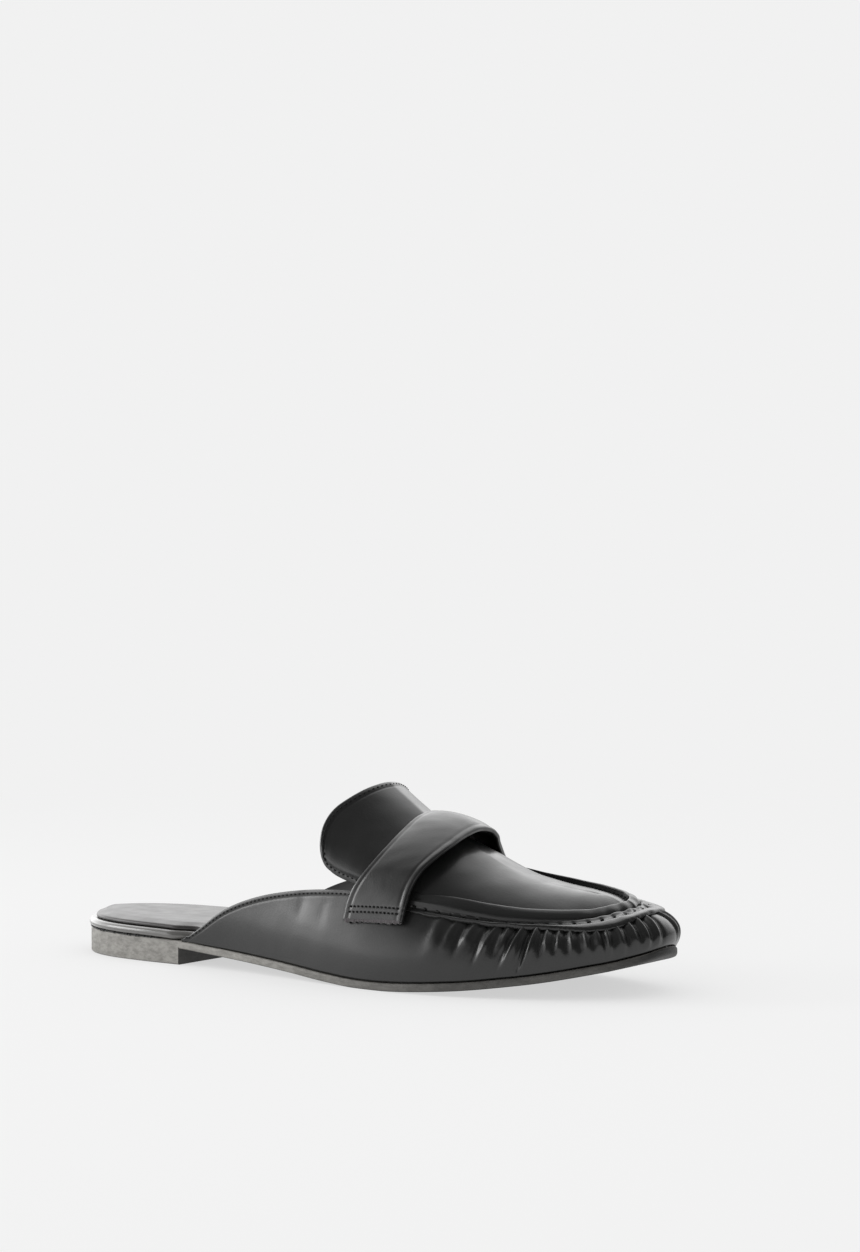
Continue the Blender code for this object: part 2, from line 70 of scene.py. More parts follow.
# Underside of the sole's plate: along, share of heel height, of waist rise, of toe spring
PLATE_LINE = np.array([
    (0.000, 1.00, 0.00, 0.000), (0.120, 0.60, 0.40, 0.000), (0.249, 0.00, 1.00, 0.000),
    (0.320, 0.00, 0.80, 0.000), (0.400, 0.00, 0.58, 0.000), (0.480, 0.00, 0.34, 0.000),
    (0.540, 0.00, 0.14, 0.000), (0.600, 0.00, 0.00, 0.000), (0.650, 0.00, 0.00, 0.000),
    (0.710, 0.00, 0.00, 0.055), (0.780, 0.00, 0.00, 0.165), (0.830, 0.00, 0.00, 0.280),
    (0.870, 0.00, 0.00, 0.385), (0.924, 0.00, 0.00, 0.570), (0.966, 0.00, 0.00, 0.745),
    (0.989, 0.00, 0.00, 0.890), (1.000, 0.00, 0.00, 1.000),
])
# Footbed: along, share of its thickness, share of its inset inside the upper
FOOTBED_LINE = np.array([
    (0.00, 1.00, 0.0), (0.20, 1.00, 0.0), (0.235, 1.00, 0.0), (0.262, 1.00, 1.0),
    (0.30, 1.00, 1.0), (0.50, 0.70, 1.0), (1.00, 0.70, 1.0),
])
# Side walls, a row for each section from the quarters' rear ends to the toe
WALL_COLUMNS = ("sole_at", "rim_at", "lateral", "medial", "high_lateral", "high_medial",
                "swell", "shoulder", "drop")
WALL_SECTIONS = np.array([
    (0.256, 0.259, 0.374, 0.340, 0.146, 0.146, 0.001, 0.000, 0.30),
    (0.286, 0.292, 0.381, 0.329, 0.221, 0.227, 0.006, 0.002, 0.30),
    (0.336, 0.343, 0.386, 0.322, 0.336, 0.351, 0.014, 0.006, 0.30),
    (0.401, 0.408, 0.395, 0.323, 0.417, 0.441, 0.019, 0.010, 0.30),
    (0.477, 0.485, 0.414, 0.335, 0.467, 0.504, 0.024, 0.012, 0.30),
    (0.553, 0.557, 0.436, 0.352, 0.488, 0.538, 0.024, 0.014, 0.30),
    (0.618, 0.612, 0.445, 0.345, 0.484, 0.556, 0.021, 0.020, 0.30),
    (0.695, 0.683, 0.436, 0.321, 0.444, 0.528, 0.019, 0.048, 0.28),
    (0.771, 0.750, 0.395, 0.321, 0.400, 0.480, 0.019, 0.085, 0.25),
    (0.840, 0.813, 0.321, 0.300, 0.366, 0.460, 0.026, 0.112, 0.18),
    (0.901, 0.868, 0.232, 0.255, 0.356, 0.446, 0.034, 0.132, 0.08),
    (0.950, 0.908, 0.130, 0.205, 0.368, 0.428, 0.040, 0.150, 0.00),
    (0.985, 0.930, 0.020, 0.145, 0.392, 0.414, 0.045, 0.166, -0.05),
    (1.000, 0.939, -0.070, 0.070, 0.405, 0.405, 0.047, 0.175, -0.08),
])
NOTCH = 6
TOE = len(WALL_SECTIONS) - 1
# Middle line of the apron: wall row, along, across, height, fullness
CROWN_SECTIONS = np.array([
    (6, 0.641, -0.048, 0.783, 0.61), (7, 0.706, -0.048, 0.690, 0.65), (8, 0.760, -0.024, 0.588, 0.75),
    (9, 0.805, 0.006, 0.536, 0.90), (10, 0.840, 0.030, 0.508, 0.95), (11, 0.865, 0.048, 0.492, 0.95),
    (12, 0.880, 0.058, 0.482, 0.95), (13, 0.886, 0.062, 0.478, 0.95),
])
# Lower edge of the tongue: way back, lateral, medial, high_lateral, high_medial
TONGUE_SIDE = np.array([
    (0.00, 0.445, 0.345, 0.484, 0.556), (0.18, 0.440, 0.343, 0.501, 0.573),
    (0.36, 0.435, 0.341, 0.516, 0.588), (0.55, 0.430, 0.339, 0.531, 0.601),
    (0.78, 0.424, 0.336, 0.560, 0.623), (0.94, 0.419, 0.333, 0.598, 0.652),
    (1.00, 0.417, 0.331, 0.632, 0.680),
])
# Rear edge of the tongue: way up from its corner to the middle, along
TONGUE_END = np.array([
    (0.00, 0.5250), (0.17, 0.5205), (0.34, 0.5200), (0.49, 0.5260), (0.61, 0.5362),
    (0.81, 0.5490), (1.00, 0.5550),
])
# Strap: way round, rear edge along, across, high, front edge along, across, high, arch
STRAP_SECTIONS = np.array([
    (-1.00, 0.581, -0.499, 0.342, 0.685, -0.511, 0.354, 0.004),
    (-0.88, 0.584, -0.483, 0.427, 0.688, -0.498, 0.437, 0.004),
    (-0.77, 0.591, -0.468, 0.500, 0.691, -0.472, 0.515, 0.005),
    (-0.62, 0.606, -0.434, 0.595, 0.700, -0.430, 0.604, 0.008),
    (-0.45, 0.620, -0.352, 0.702, 0.710, -0.347, 0.674, 0.014),
    (-0.28, 0.624, -0.240, 0.782, 0.714, -0.235, 0.726, 0.022),
    (-0.13, 0.623, -0.130, 0.836, 0.713, -0.128, 0.762, 0.025),
    (0.00, 0.622, -0.020, 0.858, 0.712, -0.022, 0.782, 0.025),
    (0.13, 0.622, 0.080, 0.842, 0.710, 0.076, 0.772, 0.025),
    (0.28, 0.622, 0.172, 0.800, 0.706, 0.152, 0.734, 0.022),
    (0.45, 0.620, 0.256, 0.734, 0.699, 0.200, 0.690, 0.014),
    (0.62, 0.615, 0.342, 0.640, 0.690, 0.272, 0.632, 0.008),
    (0.77, 0.609, 0.378, 0.556, 0.682, 0.353, 0.562, 0.005),
    (0.88, 0.604, 0.391, 0.470, 0.680, 0.397, 0.482, 0.004),
    (1.00, 0.601, 0.402, 0.385, 0.680, 0.420, 0.392, 0.004),
])
# Seam: wall row, share of its full size, of its width, of its crest's lift: lateral, medial
SEAM_ROWS = np.array([
    (6.85, 0.20, 0.60, 0.10, 0.10), (7.2, 0.40, 0.62, 0.55, 0.25), (7.8, 0.85, 0.64, 1.00, 0.40),
    (8.6, 1.00, 0.68, 1.05, 0.50), (9.4, 1.00, 0.78, 1.00, 0.50), (10.0, 1.00, 1.00, 0.90, 0.50),
    (10.6, 1.00, 1.45, 0.65, 0.50), (11.2, 1.00, 1.80, 0.35, 0.50), (12.0, 1.00, 1.80, 0.20, 0.50),
    (13.0, 1.00, 1.50, 0.30, 0.30),
])

# Gathers of the vamp's lateral side: row and way up at the top, row and way up at the foot,
# shares of Vamp.gather_width and of Vamp.gather_height. A negative height is a furrow.
GATHERS = np.array([
    (7.74, 0.81, 7.45, 0.25, 3.2, 0.55), (8.05, 0.80, 7.72, 0.35, 1.5, 0.35),
    (8.24, 0.80, 7.95, 0.35, 1.2, -0.45), (8.46, 0.86, 8.18, 0.45, 1.5, 0.50),
    (8.66, 0.80, 8.30, 0.25, 1.1, -0.50), (8.85, 0.80, 8.38, 0.22, 1.0, 0.50),
    (8.98, 0.80, 8.70, 0.35, 0.9, -0.40), (9.11, 0.80, 8.93, 0.42, 1.1, 0.45),
    (9.26, 0.80, 8.80, 0.20, 1.0, -0.55), (9.42, 0.82, 8.83, 0.09, 1.3, 0.85),
    (9.57, 0.80, 9.05, -0.05, 0.9, -0.75), (9.71, 0.80, 9.23, 0.05, 1.2, 0.80),
    (9.84, 0.80, 9.60, 0.30, 0.8, -0.50), (9.95, 0.80, 9.76, 0.26, 1.0, 0.55),
    (10.08, 0.75, 9.92, 0.35, 0.8, -0.45), (10.20, 0.75, 10.03, 0.33, 0.9, 0.50),
    (10.32, 0.72, 10.18, 0.30, 0.8, -0.45), (10.44, 0.72, 10.30, 0.18, 0.9, 0.55),
    (10.60, 0.70, 10.46, 0.25, 0.9, -0.45), (10.76, 0.70, 10.62, 0.12, 1.0, 0.60),
    (10.90, 0.66, 10.78, 0.30, 0.8, -0.40), (11.03, 0.66, 10.93, 0.28, 0.9, 0.40),
    (11.15, 0.66, 11.03, 0.15, 0.7, -0.50), (11.27, 0.66, 11.12, 0.08, 0.8, 0.55),
    (11.42, 0.66, 11.28, 0.25, 0.8, -0.40), (11.56, 0.66, 11.47, 0.12, 1.0, 0.60),
    (11.74, 0.66, 11.64, 0.20, 0.8, -0.50), (11.92, 0.66, 11.83, 0.22, 1.0, 0.50),
    (12.10, 0.66, 12.02, 0.25, 0.8, -0.45), (12.28, 0.68, 12.20, 0.12, 1.1, 0.65),
    (12.52, 0.70, 12.42, 0.20, 0.9, -0.45), (12.75, 0.72, 12.66, 0.15, 1.1, 0.55),
    (12.90, 0.74, 12.86, 0.15, 0.8, -0.45),
])


class Side(Enum):
    """Sides of the shoe, as signs of y."""
    LATERAL = -1
    MEDIAL = 1


class Edge(Enum):
    """Edges of a grid of points: axis that crosses the edge, and whether it is the first one."""
    FIRST_ROW = (0, True)
    FIRST_COLUMN = (1, True)
    LAST_COLUMN = (1, False)


class Part(Enum):
    """CAD nodes, each with its slot among the record's materials."""
    OUTSOLE = ("outsole", "sole_rubber")
    FOOTBED = ("footbed", "footbed_wrap")
    INSOLE = ("insole", "insole_lining")
    UPPER = ("upper", "upper_leather")
    SEAM = ("apron_seam", "seam_leather")
    STRAP = ("saddle_strap", "strap_leather")


def through(rows: np.ndarray, at: np.ndarray) -> np.ndarray:
    """Smooth curves through a table: cubic pieces whose slopes come from neighbouring rows.

    Args: rows, with the place in the first column; at, places to read.
    Returns: the other columns at those places.
    """
    places, values = rows[:, 0], rows[:, 1:]
    slopes = np.gradient(values, places, axis=0)
    at = np.clip(np.asarray(at, float), places[0], places[-1])
    low = np.clip(np.searchsorted(places, at, side="right") - 1, 0, len(places) - 2)
    span = places[low + 1] - places[low]
    t = ((at - places[low]) / span)[..., None]
    span = span[..., None]
    start = values[low] * (1 + 2 * t) + slopes[low] * span * t
    end = values[low + 1] * (3 - 2 * t) + slopes[low + 1] * span * (t - 1)
    return start * (1 - t) ** 2 + end * t ** 2


def bell(distance: np.ndarray, width: float | np.ndarray) -> np.ndarray:
    """Bell curve: 1 at no distance, falling to 0.37 at one width."""
    return np.exp(-(distance / width) ** 2)


def ease(value: np.ndarray, low: float, high: float) -> np.ndarray:
    """Smooth step: 0 below low, 1 above high, three t squared less two t cubed between."""
    t = np.clip((value - low) / (high - low), 0, 1)
    return t * t * (3 - 2 * t)


def waves(points: np.ndarray, length: float, seed: int) -> np.ndarray:
    """Soft random relief in -1 to 1: a sum of seven plane waves of about one wavelength.

    Args: points, any grid of them; length, wavelength; seed, picks the directions.
    Returns: one value for each point.
    """
    dice = np.random.default_rng(seed)
    way = dice.normal(size=(7, 3))
    way *= (2 * np.pi / length / np.linalg.norm(way, axis=1) * dice.uniform(0.6, 1.6, 7))[:, None]
    return np.sin(points @ way.T + dice.uniform(0, 2 * np.pi, 7)).mean(axis=-1) * 1.6


def along(points: np.ndarray, axis: int = 0) -> np.ndarray:
    """Distance travelled along one axis of a grid of points: running sum of its steps."""
    steps = np.linalg.norm(np.diff(points, axis=axis), axis=-1)
    return np.concatenate((np.zeros_like(np.take(steps, [0], axis)), np.cumsum(steps, axis=axis)), axis)


def unit(vectors: np.ndarray) -> np.ndarray:
    """Vectors over their own lengths."""
    return vectors / np.maximum(np.linalg.norm(vectors, axis=-1, keepdims=True), 1e-12)


def grid_normals(points: np.ndarray, sign: float) -> np.ndarray:
    """Cross product of a grid's two directions, turned outward by sign."""
    return unit(np.cross(np.gradient(points, axis=0), np.gradient(points, axis=1))) * sign


def folded_edge(distance: np.ndarray) -> np.ndarray:
    """Relief of a folded, stitched edge: a low bell at the fold and a narrow one down at the stitches."""
    return 0.00018 * bell(distance - 0.0009, 0.0010) - 0.00010 * bell(distance - 0.0023, 0.00045)


def at_distance(lines: np.ndarray, distance: np.ndarray) -> np.ndarray:
    """Point that lies a distance along each of many lines, straight between their points."""
    length = along(lines, 1)
    distance = np.broadcast_to(distance, len(lines))
    after = np.clip((length < distance[:, None]).sum(axis=1), 1, lines.shape[1] - 1)
    pick = np.arange(len(lines))
    low, high = length[pick, after - 1], length[pick, after]
    share = np.clip((distance - low) / np.maximum(high - low, 1e-12), 0, 1)[:, None]
    return lines[pick, after - 1] * (1 - share) + lines[pick, after] * share


def read_at(values: np.ndarray, way: np.ndarray, at: np.ndarray) -> np.ndarray:
    """Row of vectors read at places along it, straight between its points."""
    return np.stack([np.interp(at, way, values[:, k]) for k in range(3)], axis=-1)


def upward_normals(points: np.ndarray) -> np.ndarray:
    """Normals of a grid, on the side that looks up on the whole."""
    normal = grid_normals(points, 1)
    return normal * np.sign(normal[..., 2].sum())


def from_sides(points: np.ndarray) -> np.ndarray:
    """Distance of each point of a grid from the nearer end of its row, along the row."""
    return np.minimum(along(points, 1), along(points[:, ::-1], 1)[:, ::-1])


def pull_in(points: np.ndarray, amount: float, reach: float, edge: Edge) -> np.ndarray:
    """Draws one edge of a grid inward, to leave room for a roll: by the square of what is left of a reach.

    Args: points, rows by columns; amount at the edge; reach; edge.
    Returns: the moved grid.
    """
    axis, first = edge.value
    line = points if first else np.flip(points, axis)
    step = unit(np.gradient(line, axis=axis))
    share = np.clip(1 - along(line, axis) / reach, 0, 1)[..., None] ** 2
    moved = line + step * share * amount
    return moved if first else np.flip(moved, axis)


@dataclass(frozen=True)
class Last:
    """Form of the shoe, in metres, and the shift that sets it on the frame."""
    length: float = 0.262
    ball: float = 0.084
    instep: float = 0.0726
    heel_height: float = 0.0101
    heel_length: float = 0.0653
    waist_rise: float = 0.0062
    toe_spring: float = 0.015
    sole_thickness: float = 0.003
    footbed_thickness: float = 0.0034
    footbed_overhang: float = 0.0007
    insole_margin: float = 0.0028
    wall: float = 0.0018
    feather: float = 0.0006
    swell_height: float = 0.45
    tongue_middle: float = -0.042
    tongue_fullness: float = 0.5
    strap: float = 0.0020
    seam_thickness: float = 0.0012
    seam_width: float = 0.006
    seam_rise: float = 0.0019
    seam_lift: float = 0.0021
    seam_crest: float = 0.0018
    gap: float = 0.0003
    chord: float = 0.004
    roll_reach: float = 0.005

    @property
    def shift(self) -> np.ndarray:
        """Move from this drawing to the frame, read off the CAD outsole's box."""
        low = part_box("outsole")[0]
        widest = self.outline(np.linspace(0, 2, 97))[:, 1].min()
        return np.array((low.x, low.y - widest, 0.0))

    @staticmethod
    def turn_at(share: np.ndarray) -> np.ndarray:
        """Place round the outline, 0 at the heel and 1 at the toe, of a share of the length."""
        return np.arccos(1 - 2 * np.clip(share, 0, 1)) / np.pi

    def outline(self, turn: np.ndarray) -> np.ndarray:
        """Sole outline in plan: lateral side to the toe at 1, medial side back to 2."""
        lateral = np.column_stack((self.turn_at(OUTLINE[:, 0]), -OUTLINE[:, 1]))
        medial = np.column_stack((2 - self.turn_at(OUTLINE[:, 0]), OUTLINE[:, 2]))[::-1]
        once = np.vstack((lateral, medial[1:]))
        table = np.vstack((once[-4:-1] - (2, 0), once, once[1:4] + (2, 0)))
        across = through(table, np.mod(turn, 2))[..., 0]
        return np.stack(((1 - np.cos(np.pi * turn)) / 2 * self.length, across * self.ball), axis=-1)

    def outward(self, turn: np.ndarray) -> np.ndarray:
        """Unit vector in plan that points out of the outline, square to a short chord of it."""
        ahead = self.outline(turn + self.chord) - self.outline(turn - self.chord)
        return unit(np.stack((ahead[..., 1], -ahead[..., 0]), axis=-1))

    def plate_under(self, x: np.ndarray) -> np.ndarray:
        """Height of the underside of the sole's plate: the table's shares times three heights."""
        heights = (self.heel_height - self.sole_thickness, self.waist_rise, self.toe_spring)
        return through(PLATE_LINE, x / self.length) @ np.array(heights)

    def sole_top(self, x: np.ndarray) -> np.ndarray:
        """Height of the sole's upper face."""
        return self.plate_under(x) + self.sole_thickness

    def footbed_line(self, x: np.ndarray) -> tuple[np.ndarray, np.ndarray]:
        """Thickness of the footbed and its inset from the sole's outline."""
        share = through(FOOTBED_LINE, x / self.length)
        covered = np.clip(share[..., 1], 0, 1)
        inside = self.feather + self.wall + 4 * self.gap
        return (share[..., 0] * self.footbed_thickness,
                covered * inside - (1 - covered) * self.footbed_overhang)

    def ring(self, turn: np.ndarray, inset: float | np.ndarray,
             height: Callable[[np.ndarray], np.ndarray]) -> np.ndarray:
        """Ring round the outline, moved inward, at heights that follow a function of x."""
        flat = self.outline(turn)
        flat = flat - self.outward(turn) * np.broadcast_to(inset, turn.shape)[:, None]
        return np.column_stack((flat, height(flat[:, 0])))

    def wall_row(self, row: np.ndarray, side: Side) -> tuple[np.ndarray, np.ndarray, np.ndarray, dict]:
        """Foot, rim, outward direction and table cells of the side wall at some rows."""
        sign = side.value
        numbered = np.column_stack((np.arange(TOE + 1), WALL_SECTIONS))
        cell = dict(zip(WALL_COLUMNS, np.moveaxis(through(numbered, row), -1, 0)))
        turn = self.turn_at(cell["sole_at"])
        turn = turn if sign < 0 else 2 - turn
        out = self.outward(turn)
        foot = self.outline(turn) - out * self.feather
        foot = np.column_stack((foot, self.sole_top(foot[:, 0]) + self.gap))
        name = side.name.lower()
        rim = np.column_stack((cell["rim_at"] * self.length, sign * cell[name] * self.ball,
                               cell["high_" + name] * self.instep))
        return foot, rim, np.column_stack((out, np.zeros(len(out)))), cell

    def wall_points(self, row: np.ndarray, side: Side, up: np.ndarray) -> np.ndarray:
        """Outer face of the side wall: a cubic curve of four points from foot to rim."""
        foot, rim, out, cell = self.wall_row(row, side)
        height = (rim - foot)[:, 2:]
        swell = foot + out * cell["swell"][:, None] * self.ball + UP * height * self.swell_height
        shoulder = rim + out * cell["shoulder"][:, None] * self.ball
        shoulder = shoulder - UP * height * cell["drop"][:, None]
        t = np.asarray(up, float)[None, :, None]
        weights = ((1 - t) ** 3, 3 * t * (1 - t) ** 2, 3 * t ** 2 * (1 - t), t ** 3)
        return sum(w * p[:, None, :] for w, p in zip(weights, (foot, swell, shoulder, rim)))

    @staticmethod
    def over_crown(edge: np.ndarray, middle: np.ndarray, fullness: np.ndarray,
                   inward: np.ndarray) -> np.ndarray:
        """Half section from an edge up to a middle line: part ellipse, part parabola."""
        way = 1 - np.cos(np.pi / 2 * np.asarray(inward, float))[None, :, None]
        lift = (1 - (1 - way[..., 0]) ** 2) ** fullness[:, None]
        points = edge[:, None, :] + (middle - edge)[:, None, :] * way
        points[..., 2] = edge[:, None, 2] + (middle - edge)[:, None, 2] * lift
        return points

    def crown_points(self, row: np.ndarray, side: Side, inward: np.ndarray) -> np.ndarray:
        """Outer face of the apron, from the wall's rim to the middle line."""
        share = through(CROWN_SECTIONS, row)
        middle = share[:, :3] * (self.length, self.ball, self.instep)
        return self.over_crown(self.wall_row(row, side)[1], middle, share[:, 3], inward)

    def tongue_points(self, back: np.ndarray, side: Side, inward: np.ndarray) -> np.ndarray:
        """Outer face of the tongue, 0 at the notch to 1 at its rear edge."""
        sides = through(TONGUE_SIDE, back)
        pick = (0, 2) if side is Side.LATERAL else (1, 3)
        notch = self.crown_points(np.array([float(NOTCH)]), side, inward)[0]
        first = CROWN_SECTIONS[0]
        across = first[2] + (self.tongue_middle - first[2]) * back
        high = first[3] + (1 - first[3]) * back
        zero = np.zeros_like(back)
        edge = np.column_stack((zero, side.value * sides[:, pick[0]] * self.ball,
                                sides[:, pick[1]] * self.instep))
        middle = np.column_stack((zero, across * self.ball, high * self.instep))
        fullness = first[4] + (self.tongue_fullness - first[4]) * back
        points = self.over_crown(edge, middle, fullness, inward)
        end = through(TONGUE_END, inward)[:, 0] * self.length
        points[..., 0] = notch[None, :, 0] + (end - notch[:, 0])[None, :] * back[:, None]
        return points

    def strap_points(self, way: np.ndarray, over: np.ndarray) -> np.ndarray:
        """Outer face of the strap: straight from rear to front edge, raised by a parabola."""
        share = through(STRAP_SECTIONS, way)
        size = np.array((self.length, self.ball, self.instep))
        rear, front = share[:, None, 0:3] * size, share[:, None, 3:6] * size
        t = np.asarray(over, float)[None, :, None]
        arch = share[:, None, 6:7] * self.instep * 4 * t * (1 - t)
        return rear * (1 - t) + front * t + arch * UP


class Nodes:
    """Short way to build one shader tree."""

    def __init__(self, owner: bpy.types.Material | bpy.types.World) -> None:
        """Starts with an empty tree."""
        owner.use_nodes = True
        self.tree = owner.node_tree
        self.tree.nodes.clear()

    def add(self, kind: str, **sockets: object) -> bpy.types.Node:
        """New node.

        Args: kind; sockets by name, or inN for the Nth, each a value or another node's output;
        set_ and an attribute's name sets that attribute.
        Returns: the node.
        """
        node = self.tree.nodes.new(kind)
        for name, value in sockets.items():
            if name.startswith("set_"):
                setattr(node, name[4:], value)
                continue
            socket = node.inputs[int(name[2:])] if name.startswith("in") and name[2:].isdigit() \
                else node.inputs[name.replace("_", " ")]
            if isinstance(value, bpy.types.NodeSocket):
                self.tree.links.new(value, socket)
            else:
                socket.default_value = value
        return node

    def spread(self, value: bpy.types.NodeSocket, low: float, high: float, to_low: float,
               to_high: float) -> bpy.types.NodeSocket:
        """Value moved from one range to another, held at its ends."""
        node = self.add("ShaderNodeMapRange", Value=value, From_Min=low, From_Max=high,
                        To_Min=to_low, To_Max=to_high)
        return node.outputs["Result"]

    def maths(self, operation: str, one: bpy.types.NodeSocket,
              other: bpy.types.NodeSocket) -> bpy.types.NodeSocket:
        """Two values joined by one operation."""
        return self.add("ShaderNodeMath", set_operation=operation, in0=one, in1=other).outputs[0]

    def bump(self, depth: float, height: bpy.types.NodeSocket,
             over: bpy.types.Node | None = None) -> bpy.types.Node:
        """Bump of some depth, laid over another one if it is given."""
        under = {"Normal": over.outputs["Normal"]} if over else {}
        return self.add("ShaderNodeBump", Strength=1.0, Distance=depth, Height=height, **under)


def start_shader(name: str) -> tuple[bpy.types.Material, Nodes, bpy.types.NodeSocket]:
    """New material, its empty tree and the object's own coordinates."""
    made = bpy.data.materials.new(name)
    nodes = Nodes(made)
    return made, nodes, nodes.add("ShaderNodeTexCoord").outputs["Object"]


@dataclass(frozen=True)
class LeatherFinish:
    """Smooth leather: fine cells and soft unevenness under a thin gloss."""
    name: str
    colour: tuple[float, float, float] = (0.0070, 0.0072, 0.0070)
    roughness: float = 0.34
    coat: float = 0.35
    coat_roughness: float = 0.17
    cell: float = 0.0006
    relief: float = 0.000020
    unevenness: float = 0.00008
    pore_scale: float = 2600.0
    patch_scale: float = 140.0
    smoother: float = 0.04
    rougher: float = 0.05

    def make(self) -> bpy.types.Material:
        """Builds the shader: cell borders and slow noise make one bump; noise varies the gloss."""
        made, nodes, place = start_shader(self.name)
        cells = nodes.add("ShaderNodeTexVoronoi", Vector=place, Scale=1 / self.cell)
        fine = nodes.add("ShaderNodeTexNoise", Vector=place, Scale=self.pore_scale, Detail=2.0)
        slow = nodes.add("ShaderNodeTexNoise", Vector=place, Scale=self.patch_scale, Detail=3.0)
        rough = nodes.spread(slow.outputs["Fac"], 0.3, 0.7, self.roughness - self.smoother,
                             self.roughness + self.rougher)
        wide = nodes.bump(self.unevenness, slow.outputs["Fac"])
        grain = nodes.bump(self.relief, cells.outputs["Distance"], wide)
        pores = nodes.bump(self.relief * 0.5, fine.outputs["Fac"], grain)
        shader = nodes.add("ShaderNodeBsdfPrincipled", Base_Color=(*self.colour, 1.0), Roughness=rough,
                           Coat_Weight=self.coat, Coat_Roughness=self.coat_roughness,
                           Normal=pores.outputs["Normal"], IOR=1.5)
        nodes.add("ShaderNodeOutputMaterial", Surface=shader.outputs["BSDF"])
        return made


@dataclass(frozen=True)
class RubberFinish:
    """Worn rubber: mottled grey with rough streaks, darker towards the toe, with painted shade
    where it faces forward or down.

    front is the share of brightness left at the toe; painted_shade_share is the share left on
    faces turned forward or down, a painted shade.
    """
    name: str
    dark: tuple[float, float, float] = (0.205, 0.198, 0.183)
    pale: tuple[float, float, float] = (0.345, 0.335, 0.312)
    front: float = 0.22
    painted_shade_share: float = 0.15
    roughness: float = 0.55
    fade: tuple[float, float] = (-0.03, 0.07)
    streak_scale: float = 230.0
    streak_relief: float = 0.00022
    grit_scale: float = 1500.0
    grit_relief: float = 0.00006

    def make(self) -> bpy.types.Material:
        """Builds the shader: stretched noise mixes two greys, darker towards the toe, painted shade by
        facing.
        """
        made, nodes, place = start_shader(self.name)
        turned = nodes.add("ShaderNodeMapping", Vector=place, Scale=(1.0, 1.0, 2.2),
                           Rotation=(0.0, 0.25, 0.0))
        streaks = nodes.add("ShaderNodeTexNoise", Vector=turned.outputs["Vector"],
                            Scale=self.streak_scale, Detail=7.0, Roughness=0.72)
        grit = nodes.add("ShaderNodeTexNoise", Vector=place, Scale=self.grit_scale, Detail=3.0)
        share = nodes.spread(streaks.outputs["Fac"], 0.36, 0.60, 0.0, 1.0)
        colour = nodes.add("ShaderNodeMix", set_data_type="RGBA", Factor=share)
        colour.inputs[6].default_value = (*self.dark, 1.0)
        colour.inputs[7].default_value = (*self.pale, 1.0)
        # Colour darker towards the toe, then painted shade on faces turned forward or down
        x = nodes.add("ShaderNodeSeparateXYZ", Vector=place).outputs["X"]
        toe_fade_and_painted_shade = nodes.spread(x, *self.fade, 0.95, self.front)
        # Painted shade: the heel's breast, the toe's front and the underside are darkened by their facing
        normal = nodes.add("ShaderNodeNewGeometry").outputs["Normal"]
        faces = nodes.add("ShaderNodeSeparateXYZ", Vector=normal)
        for value, low, high in ((faces.outputs["X"], 0.6, 0.9), (faces.outputs["Z"], -0.5, -0.8)):
            toe_fade_and_painted_shade = nodes.maths("MULTIPLY", toe_fade_and_painted_shade, nodes.spread(value, low, high, 1.0, self.painted_shade_share))
        shaded = nodes.add("ShaderNodeVectorMath", set_operation="SCALE", in0=colour.outputs[2],
                           in3=toe_fade_and_painted_shade)
        wide = nodes.bump(self.streak_relief, streaks.outputs["Fac"])
        fine = nodes.bump(self.grit_relief, grit.outputs["Fac"], wide)
        shader = nodes.add("ShaderNodeBsdfPrincipled", Base_Color=shaded.outputs[0],
                           Roughness=self.roughness, Normal=fine.outputs["Normal"])
        nodes.add("ShaderNodeOutputMaterial", Surface=shader.outputs["BSDF"])
        return made


@dataclass(frozen=True)
class PlainFinish:
    """One even colour with a fine fuzz, for thread and cut edges."""
    name: str
    colour: tuple[float, float, float]
    roughness: float
    fuzz: float = 0.0
    sheen: float = 0.0
    fuzz_scale: float = 2400.0

    def make(self) -> bpy.types.Material:
        """Builds the shader: fine noise as a bump of the fuzz's depth."""
        made, nodes, place = start_shader(self.name)
        noise = nodes.add("ShaderNodeTexNoise", Vector=place, Scale=self.fuzz_scale, Detail=3.0)
        bump = nodes.bump(self.fuzz, noise.outputs["Fac"])
        shader = nodes.add("ShaderNodeBsdfPrincipled", Base_Color=(*self.colour, 1.0),
                           Roughness=self.roughness, Sheen_Weight=self.sheen,
                           Normal=bump.outputs["Normal"])
        nodes.add("ShaderNodeOutputMaterial", Surface=shader.outputs["BSDF"])
        return made


LEATHER = LeatherFinish("leather")
STRAP_LEATHER = LeatherFinish("strap_hide")
ROLL = LeatherFinish("rolled_edge", colour=(0.11, 0.107, 0.102), roughness=0.30, coat=1.0,
                     relief=0.000004, unevenness=0.00004)
SOCK = LeatherFinish("satin_sock", colour=(0.040, 0.037, 0.036), roughness=0.36, coat=0.15,
                     relief=0.0000030, unevenness=0.00003)
RUBBER = RubberFinish("scuffed_rubber")
# Black thread, darker than the leather and matt, so its stitches also stand in as painted shade in their
# holes
THREAD_AND_HOLE_SHADE = PlainFinish("thread", (0.0025, 0.0025, 0.0025), 0.8, 0.00004)
CUT = PlainFinish("cut_edge", (0.075, 0.066, 0.070), 0.9, 0.00035, 0.3)
GLUE = PlainFinish("glue_line", (0.012, 0.012, 0.012), 0.5, 0.00015)


def quads(index: np.ndarray) -> np.ndarray:
    """Four corners of each cell of a grid of point numbers."""
    return np.stack((index[:-1, :-1], index[:-1, 1:], index[1:, 1:], index[1:, :-1]), -1).reshape(-1, 4)


